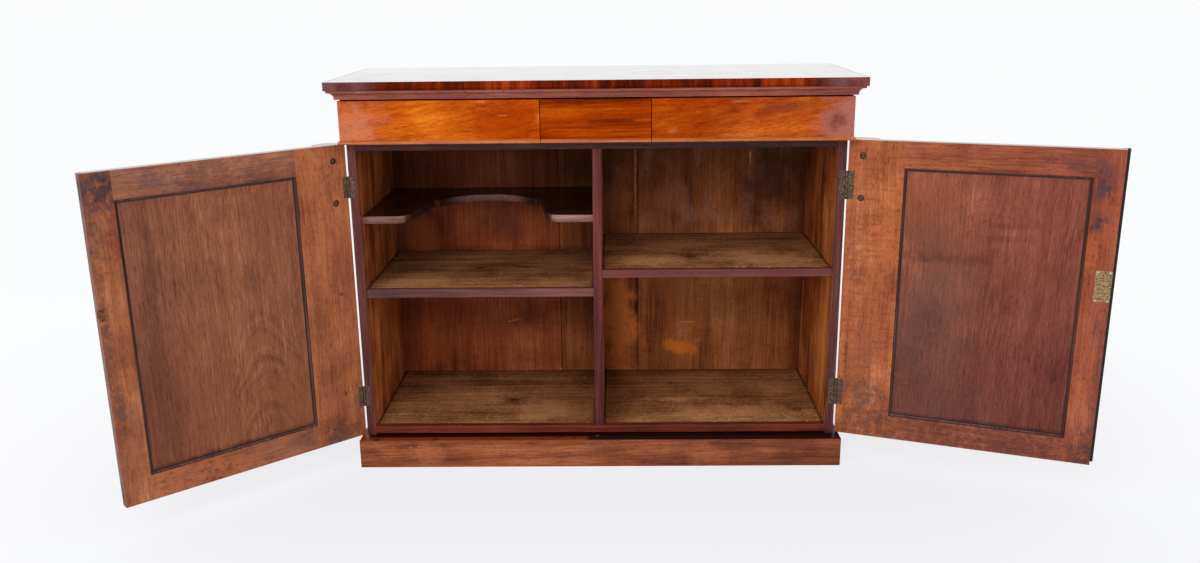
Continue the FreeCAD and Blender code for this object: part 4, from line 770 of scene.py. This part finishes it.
def shaped_shelf_finish():
    """A dark polished shelf; its shaped edge has a painted highlight where it faces forward."""
    wood = Timber("shaped_shelf_mahogany", "x", seed=5.0)
    value = wood.figure()
    face = wood.ramp(value, ((24, 10, 7), (40, 18, 12), (60, 30, 20)))
    edge = wood.ramp(value, ((92, 58, 50), (132, 92, 82), (170, 128, 116)))
    facing = []
    for axis in (THROUGH, UP):
        normal = wood.add("ShaderNodeNewGeometry", output="Normal")
        facing.append(wood.add("ShaderNodeSeparateXYZ", inputs={0: normal}, output=axis))
    # painted highlight: the edge is light where it faces forward and brightest along its top;
    # painted shade darkens it in the hollows at the ends of the bay
    forward_highlight = facing[0].between(-0.25, -0.9)
    sloping = abs(facing[1]).between(0.95, 0.6)
    x, y, z = wood.here
    off = abs(x + BAY_MIDDLE)
    hollow_shade = off.between(0.05, 0.115) * y.between(0.13, 0.17)
    top_highlight = z.between(0.607, 0.618) * 0.45 + 0.55
    rim = wood.mix((forward_highlight - forward_highlight * hollow_shade) * top_highlight, (50, 23, 17), edge)
    colour = wood.mix(sloping, face, rim)
    return wood.polished(colour, wood.pores(0.3), roughness=sloping * 0.4 + 0.22, gloss=0.2)


put_on(shaped_shelf_finish(), "shaped_shelf")

PINE = ((116, 78, 50), (150, 106, 70), (180, 136, 94))
put_on(plain_timber("carcass_pine", "x", PINE, roughness=0.6), "plinth_blocks")


def core_finish():
    """The plinth's core: plain pine, black along its top."""
    wood = Timber("core_pine", "x", seed=1.0)
    colour = wood.ramp(wood.figure(), PINE)
    colour = wood.mix(wood.here[UP].between(*PLINTH_TOP), colour, (30, 13, 11))
    return wood.polished(colour, wood.pores(), roughness=0.5, gloss=0.1)


put_on(core_finish(), "plinth_rails")
put_on(
    plain_timber("partition_pine", "y", PINE, roughness=0.6),
    "drawer_partitions",
    "drawer_kickers",
)
OAK = ((146, 110, 68), (178, 142, 94), (204, 170, 120))
for side in ("left", "right"):
    put_on(plain_timber(f"{side}_drawer_oak", "y", OAK, roughness=0.5), f"{side}_drawer_box")
    put_on(
        plain_timber(f"{side}_drawer_bottom_oak", "x", OAK, roughness=0.5),
        f"{side}_drawer_bottom",
    )


# ---------------------------------------------------------------- doors
INK = (78, 54, 60)
SOOT = (52, 36, 42)
# Where each begins and ends through a door, from its inner face, and up it.
INNER_FACE = (-0.004, -0.002)
ARRIS = (-0.0006, -0.0014)
OUTER_FACE = (-0.0212, -0.0222)
TOP_FACE = (0.8009, 0.8013)
PANEL_INSIDE = (-0.0125, -0.011)
PANEL_OUTSIDE = (-0.0125, -0.0145)
MOULDING_QUIRK = (-0.0034, -0.0052)
# The opening of a door's frame, along and up.
OPENING_MIDDLE = (0.3251, 0.4368)
OPENING_HALF = (0.197, 0.3036)


def door_member(name, grain, hang, tones, seed, stains=(), ripple=0.1, far=(255, 255, 255)):
    """A stile or rail: plain inside with old ink stains, richer and polished outside."""
    wood = Timber(name, grain, seed=seed, **hang)
    x, y, z = wood.here
    value = wood.figure(bands=0.4, streaks=0.4, lines=0.5, clouds=0.9)
    colour = wood.ramp(value, tones)
    curl = wood.noise(
        wood.along * 130.0, wood.first * 22.0 + seed, wood.second * 22.0, detail=3.0
    ).between(0.46, 0.72)
    colour = wood.stained(colour, curl * x.between(0.34, 0.26) * ripple, (150, 92, 70))
    flecks = wood.drawn(150.0, 210.0, detail=2.0).between(0.62, 0.72)
    colour = wood.stained(colour, flecks * 0.4, (120, 74, 60))
    colour = wood.stained(colour, x.between(0.1, 0.55), far)
    colour = wood.inked(colour, stains, y.between(*INNER_FACE))
    colour = wood.stained(colour, y.between(*ARRIS) * 0.6, (120, 96, 96))
    outer = wood.ramp((value - 0.5) * 1.5 + 0.5, OUTSIDE)
    colour = wood.mix(y.between(*OUTER_FACE), colour, outer)
    coat = z.between(*TOP_FACE)
    return wood.polished(colour, wood.pores(), roughness=0.36, gloss=0.15, coat=coat)


def panel_finish(name, hang, seed, tones, tints, arches, smudges, hazes=()):
    """A flat-sawn panel: fine upright grain, faint arched figure and a few dirty places."""
    wood = Timber(name, "z", seed=seed, bow=0.012, slope=0.02, **hang)
    x, y, z = wood.here
    value = wood.figure(bands=0.3, streaks=0.25, lines=0.5, clouds=0.4, wide=12.0)
    value = value + (wood.drawn(36.0, 300.0, detail=3.0) - 0.5) * 0.5
    for heart, peak, spread, way, reach, strength in arches:
        off = x - heart + (wood.cloud(7.0, shift=1.0) - 0.5) * 0.07
        rise = (z - peak) * way + off * off * spread + (wood.cloud(11.0, shift=4.0) - 0.5) * 0.05
        rings = wood.noise(rise * 44.0, seed, 0.0, detail=3.0, roughness=0.7)
        aside = (x - heart) / reach[0]
        below = (z - peak + way * reach[1]) / reach[1]
        within = (aside * aside + below * below).between(1.2, 0.3)
        value = value + (rings - 0.5) * within * strength
    colour = wood.ramp(value, tones)
    for near, away, axis, tone in tints:
        colour = wood.stained(colour, (x, z)[axis].between(near, away), tone)
    for centre, reach, strength, grit in laid(smudges):
        dirt = wood.spot(centre, reach, ragged=0.6, grit=grit) * wood.cloud(40.0).between(0.1, 0.6)
        colour = wood.stained(colour, dirt * strength, (150, 130, 132))
    dashes = wood.drawn(60.0, 330.0, detail=2.0).between(0.58, 0.74)
    colour = wood.stained(colour, dashes * 0.45, (118, 76, 62))
    colour = wood.marked(colour, hazes, y.between(*PANEL_INSIDE))
    outer = wood.ramp((value - 0.5) * 1.6 + 0.5, OUTSIDE)
    colour = wood.mix(y.between(*PANEL_OUTSIDE), colour, outer)
    return wood.polished(colour, wood.pores(0.25), roughness=0.4, gloss=0.12)


def moulding_finish(name, hang):
    """The mouldings round a panel, their quirks dark with painted shade."""
    wood = Timber(name, "z", **hang)
    x, y, z = wood.here
    colour = wood.ramp(wood.figure(lines=1.0), ((52, 24, 18), (88, 46, 36), (122, 74, 60)))
    aside, above = (
        abs(axis - middle) - half
        for axis, middle, half in zip((x, z), OPENING_MIDDLE, OPENING_HALF)
    )
    # painted shade along the edge against the panel and in the quirks
    rim = aside.worked("MAXIMUM", aside, above).between(-0.0014, -0.0006)
    quirk_shade = y.between(*MOULDING_QUIRK)
    colour = wood.stained(colour, (rim + quirk_shade).lower(1.0) * 0.95, (66, 46, 46))
    return wood.polished(colour, wood.pores(0.3), roughness=0.25, gloss=0.3)


# Each door: how it hangs, how strong the curl of its hinge stile is, its tint towards the lock,
# tones from dark to light, and marks. An arch has its heart, its peak, how fast it falls, whether
# it opens down or up, its reach and its strength.
DOORS = {
    "left": {
        "hang": {"pin": -0.5818, "turn": math.radians(-138)},
        "seed": 2.0,
        "ripple": 0.08,
        "far": (244, 250, 255),
        "stile": ((98, 50, 30), (144, 78, 46), (170, 98, 58), (196, 124, 80)),
        "rail": ((78, 42, 30), (124, 72, 52), (152, 92, 66), (184, 118, 86)),
        "stile_stains": (
            (0.555, 0.775, 0.055, 0.06, 1.0, INK),
            (0.565, 0.7, 0.022, 0.09, 0.7, INK),
            (0.54, 0.75, 0.03, 0.05, 0.6, SOOT),
            (0.53, 0.66, 0.024, 0.09, 0.7, (108, 50, 38)),
            (0.1, 0.36, 0.03, 0.3, 0.35, (98, 56, 38)),
            (0.07, 0.75, 0.08, 0.09, 0.4, (196, 116, 74)),
            (0.575, 0.38, 0.03, 0.42, 0.6, (104, 60, 48)),
            (0.535, 0.2, 0.03, 0.18, 0.35, (110, 64, 48)),
            (0.07, 0.1, 0.09, 0.05, 0.6, (84, 48, 38)),
            (0.568, 0.48, 0.012, 0.09, 0.5, INK),
            (0.565, 0.3, 0.012, 0.06, 0.4, INK),
            (0.0859, 0.1105, 0.01, 0.004, 0.9, SOOT),
            (0.0488, 0.1947, 0.004, 0.01, 0.9, SOOT),
            (0.0375, 0.4469, 0.012, 0.005, 0.9, SOOT),
            (0.08, 0.09, 0.05, 0.02, 0.5, INK),
            (0.02, 0.15, 0.012, 0.1, 0.4, INK),
        ),
        "rail_stains": (
            (0.44, 0.772, 0.09, 0.02, 0.6, (108, 78, 80)),
            (0.36, 0.745, 0.06, 0.012, 0.6, INK),
            (0.24, 0.742, 0.06, 0.006, 0.7, SOOT),
            (0.18, 0.106, 0.06, 0.016, 0.5, (92, 52, 46)),
            (0.46, 0.112, 0.06, 0.014, 0.5, INK),
            (0.46, 0.1, 0.3, 0.08, 0.6, (184, 104, 56)),
            (0.28, 0.775, 0.22, 0.05, 0.5, (96, 60, 54)),
        ),
        "panel": ((84, 46, 34), (122, 70, 49), (146, 88, 62), (172, 112, 82)),
        "tints": (
            (0.35, 0.5, 0, (236, 236, 244)),
            (0.5, 0.15, 1, (242, 232, 224)),
        ),
        "arches": (
            (0.24, 0.46, 20.0, 1, (0.1, 0.2), 0.75),
            (0.287, 0.6, 6.0, -1, (0.05, 0.07), 0.3),
            (0.32, 0.7, 5.0, -1, (0.06, 0.09), 0.3),
        ),
        "smudges": (
            (0.475, 0.5, 0.03, 0.26, 0.35, 9.0),
            (0.46, 0.25, 0.04, 0.2, 0.3, 9.0),
            (0.15, 0.45, 0.012, 0.25, 0.4, 9.0),
            (0.33, 0.141, 0.3, 0.01, 0.7, 9.0),
        ),
        "hazes": (
            (0.19, 0.22, 0.09, 0.12, (140, 82, 50), 0.35, 9.0),
            (0.42, 0.3, 0.12, 0.2, (120, 64, 46), 0.3, 9.0),
        ),
    },
    "right": {
        "hang": {"pin": 0.5818, "turn": math.radians(160), "side": -1},
        "seed": 11.0,
        "ripple": 0.36,
        "far": (222, 206, 238),
        "stile": ((110, 52, 30), (156, 80, 44), (178, 98, 56), (204, 126, 78)),
        "rail": ((96, 44, 26), (144, 74, 44), (176, 98, 62), (208, 128, 88)),
        "stile_stains": (
            (0.54, 0.638, 0.024, 0.026, 1.0, (58, 40, 56)),
            (0.545, 0.715, 0.032, 0.036, 1.0, INK),
            (0.54, 0.76, 0.05, 0.04, 0.75, (92, 58, 58)),
            (0.53, 0.68, 0.014, 0.05, 0.5, (112, 60, 46)),
            (0.535, 0.57, 0.02, 0.06, 0.5, (196, 104, 60)),
            (0.54, 0.26, 0.02, 0.06, 0.5, (196, 104, 62)),
            (0.56, 0.4, 0.014, 0.05, 0.5, INK),
            (0.575, 0.25, 0.014, 0.28, 0.6, (100, 62, 54)),
            (0.565, 0.1, 0.06, 0.08, 0.95, (88, 52, 48)),
            (0.08, 0.1, 0.13, 0.08, 0.6, (84, 50, 42)),
            (0.1, 0.15, 0.05, 0.09, 0.55, (100, 58, 46)),
            (0.02, 0.28, 0.005, 0.07, 0.8, SOOT),
            (0.06, 0.19, 0.05, 0.04, 0.5, INK),
            (0.06, 0.25, 0.07, 0.16, 0.4, (118, 76, 56)),
            (0.03, 0.58, 0.03, 0.18, 0.5, (118, 66, 44)),
            (0.035, 0.44, 0.03, 0.12, 0.4, (118, 66, 44)),
            (0.1, 0.58, 0.03, 0.16, 0.4, (206, 118, 66)),
        ),
        "rail_stains": (
            (0.49, 0.765, 0.045, 0.018, 0.5, INK),
            (0.43, 0.775, 0.03, 0.01, 0.6, INK),
            (0.32, 0.1, 0.5, 0.1, 0.75, (98, 54, 42)),
        ),
        "panel": ((90, 44, 32), (128, 68, 50), (152, 86, 64), (180, 112, 86)),
        "tints": (
            (0.15, 0.45, 0, (238, 228, 238)),
            (0.7, 0.2, 1, (214, 206, 218)),
        ),
        "arches": ((0.33, 0.72, 4.0, 1, (0.09, 0.1), 0.5),),
        "smudges": (
            (0.22, 0.535, 0.13, 0.02, 0.7, 12.0),
            (0.2, 0.37, 0.06, 0.09, 0.5, 9.0),
            (0.36, 0.62, 0.08, 0.012, 0.4, 20.0),
            (0.34, 0.59, 0.08, 0.01, 0.4, 20.0),
            (0.17, 0.25, 0.07, 0.08, 0.5, 9.0),
            (0.33, 0.141, 0.3, 0.01, 0.7, 9.0),
        ),
        "hazes": (
            (0.21, 0.38, 0.13, 0.26, (98, 72, 62), 0.42, 7.0),
            (0.26, 0.17, 0.18, 0.08, (84, 56, 50), 0.45, 7.0),
            (0.17, 0.68, 0.07, 0.08, (150, 76, 42), 0.35, 7.0),
            (0.3, 0.56, 0.16, 0.1, (120, 62, 44), 0.3, 7.0),
        ),
    },
}
for side, door in DOORS.items():
    hang, seed = door["hang"], door["seed"]
    for part, grain in (("stile", "z"), ("rail", "x")):
        member = door_member(
            f"{side}_{part}_mahogany",
            grain,
            hang,
            door[part],
            seed,
            door[f"{part}_stains"],
            door["ripple"] if part == "stile" else 0.1,
            door["far"],
        )
        put_on(member, f"{side}_door_{part}s")
    put_on(
        panel_finish(
            f"{side}_panel_mahogany",
            hang,
            seed + 6,
            door["panel"],
            door["tints"],
            door["arches"],
            door["smudges"],
            door["hazes"],
        ),
        f"{side}_door_panel",
    )
    put_on(moulding_finish(f"{side}_moulding_mahogany", hang), f"{side}_door_mouldings")
    put_on(
        door_member(f"{side}_console_mahogany", "z", hang, door["stile"], seed + 8),
        f"{side}_console",
        f"{side}_pilaster",
    )
put_on(moulding_finish("astragal_mahogany", DOORS["right"]["hang"]), "astragal")


# ---------------------------------------------------------------- metal
def metal_finish(name, tones, grit=220.0, roughness=0.45, dirt=0.7, pins=()):
    """Old metal: mottled with tarnish, with dark dirt in its pits and pale pin heads."""
    metal = Timber(name, "z", **DOORS["right"]["hang"])
    tarnish = metal.cloud(grit, detail=4.0)
    colour = metal.ramp((tarnish - 0.5) * 1.2 + 0.5, tones)
    pits = metal.cloud(grit * 1.3, detail=2.0, shift=3.0).between(0.54, 0.62)
    colour = metal.mix(pits * dirt, colour, (40, 30, 24))
    for x, z in pins:
        pin = metal.spot((x, 0, z), (0.0034, 0, 0.0034), ragged=0.3, grit=200.0)
        colour = metal.mix(pin, colour, (214, 178, 158))
    return metal.surface(
        colour,
        (tarnish - 0.5) * 0.5 + roughness,
        metallic=0.85,
        relief=tarnish - pits * 0.5,
        depth=0.15,
    )


LOCK_PINS = [(along, up) for along in (0.5508, 0.5768) for up in (0.4672, 0.5312)]
put_on(
    metal_finish("aged_brass", ((48, 38, 32), (96, 76, 60), (142, 116, 96))),
    "case_hinges",
    "left_door_hinge_leaves",
    "right_door_hinge_leaves",
)
put_on(
    metal_finish(
        "lock_brass",
        ((104, 80, 48), (156, 130, 88), (194, 170, 126)),
        grit=210.0,
        dirt=0.85,
        pins=LOCK_PINS,
    ),
    "lock_case",
)
put_on(metal_finish("keep_brass", ((64, 34, 18), (118, 66, 34), (170, 104, 62))), "lock_keep")
put_on(metal_finish("black_plate", ((26, 18, 14), (44, 32, 26), (70, 54, 44))), "bolt_plates")
put_on(
    metal_finish("dull_brass", ((84, 62, 38), (124, 98, 62), (164, 136, 92))),
    "escutcheon",
    "top_bolt",
    "bottom_bolt",
    "lock_bolt",
)
put_on(
    metal_finish("screw_steel", ((50, 38, 28), (92, 72, 54), (140, 116, 92)), grit=400.0),
    "case_hinge_screws",
    "left_door_screws",
    "right_door_screws",
)
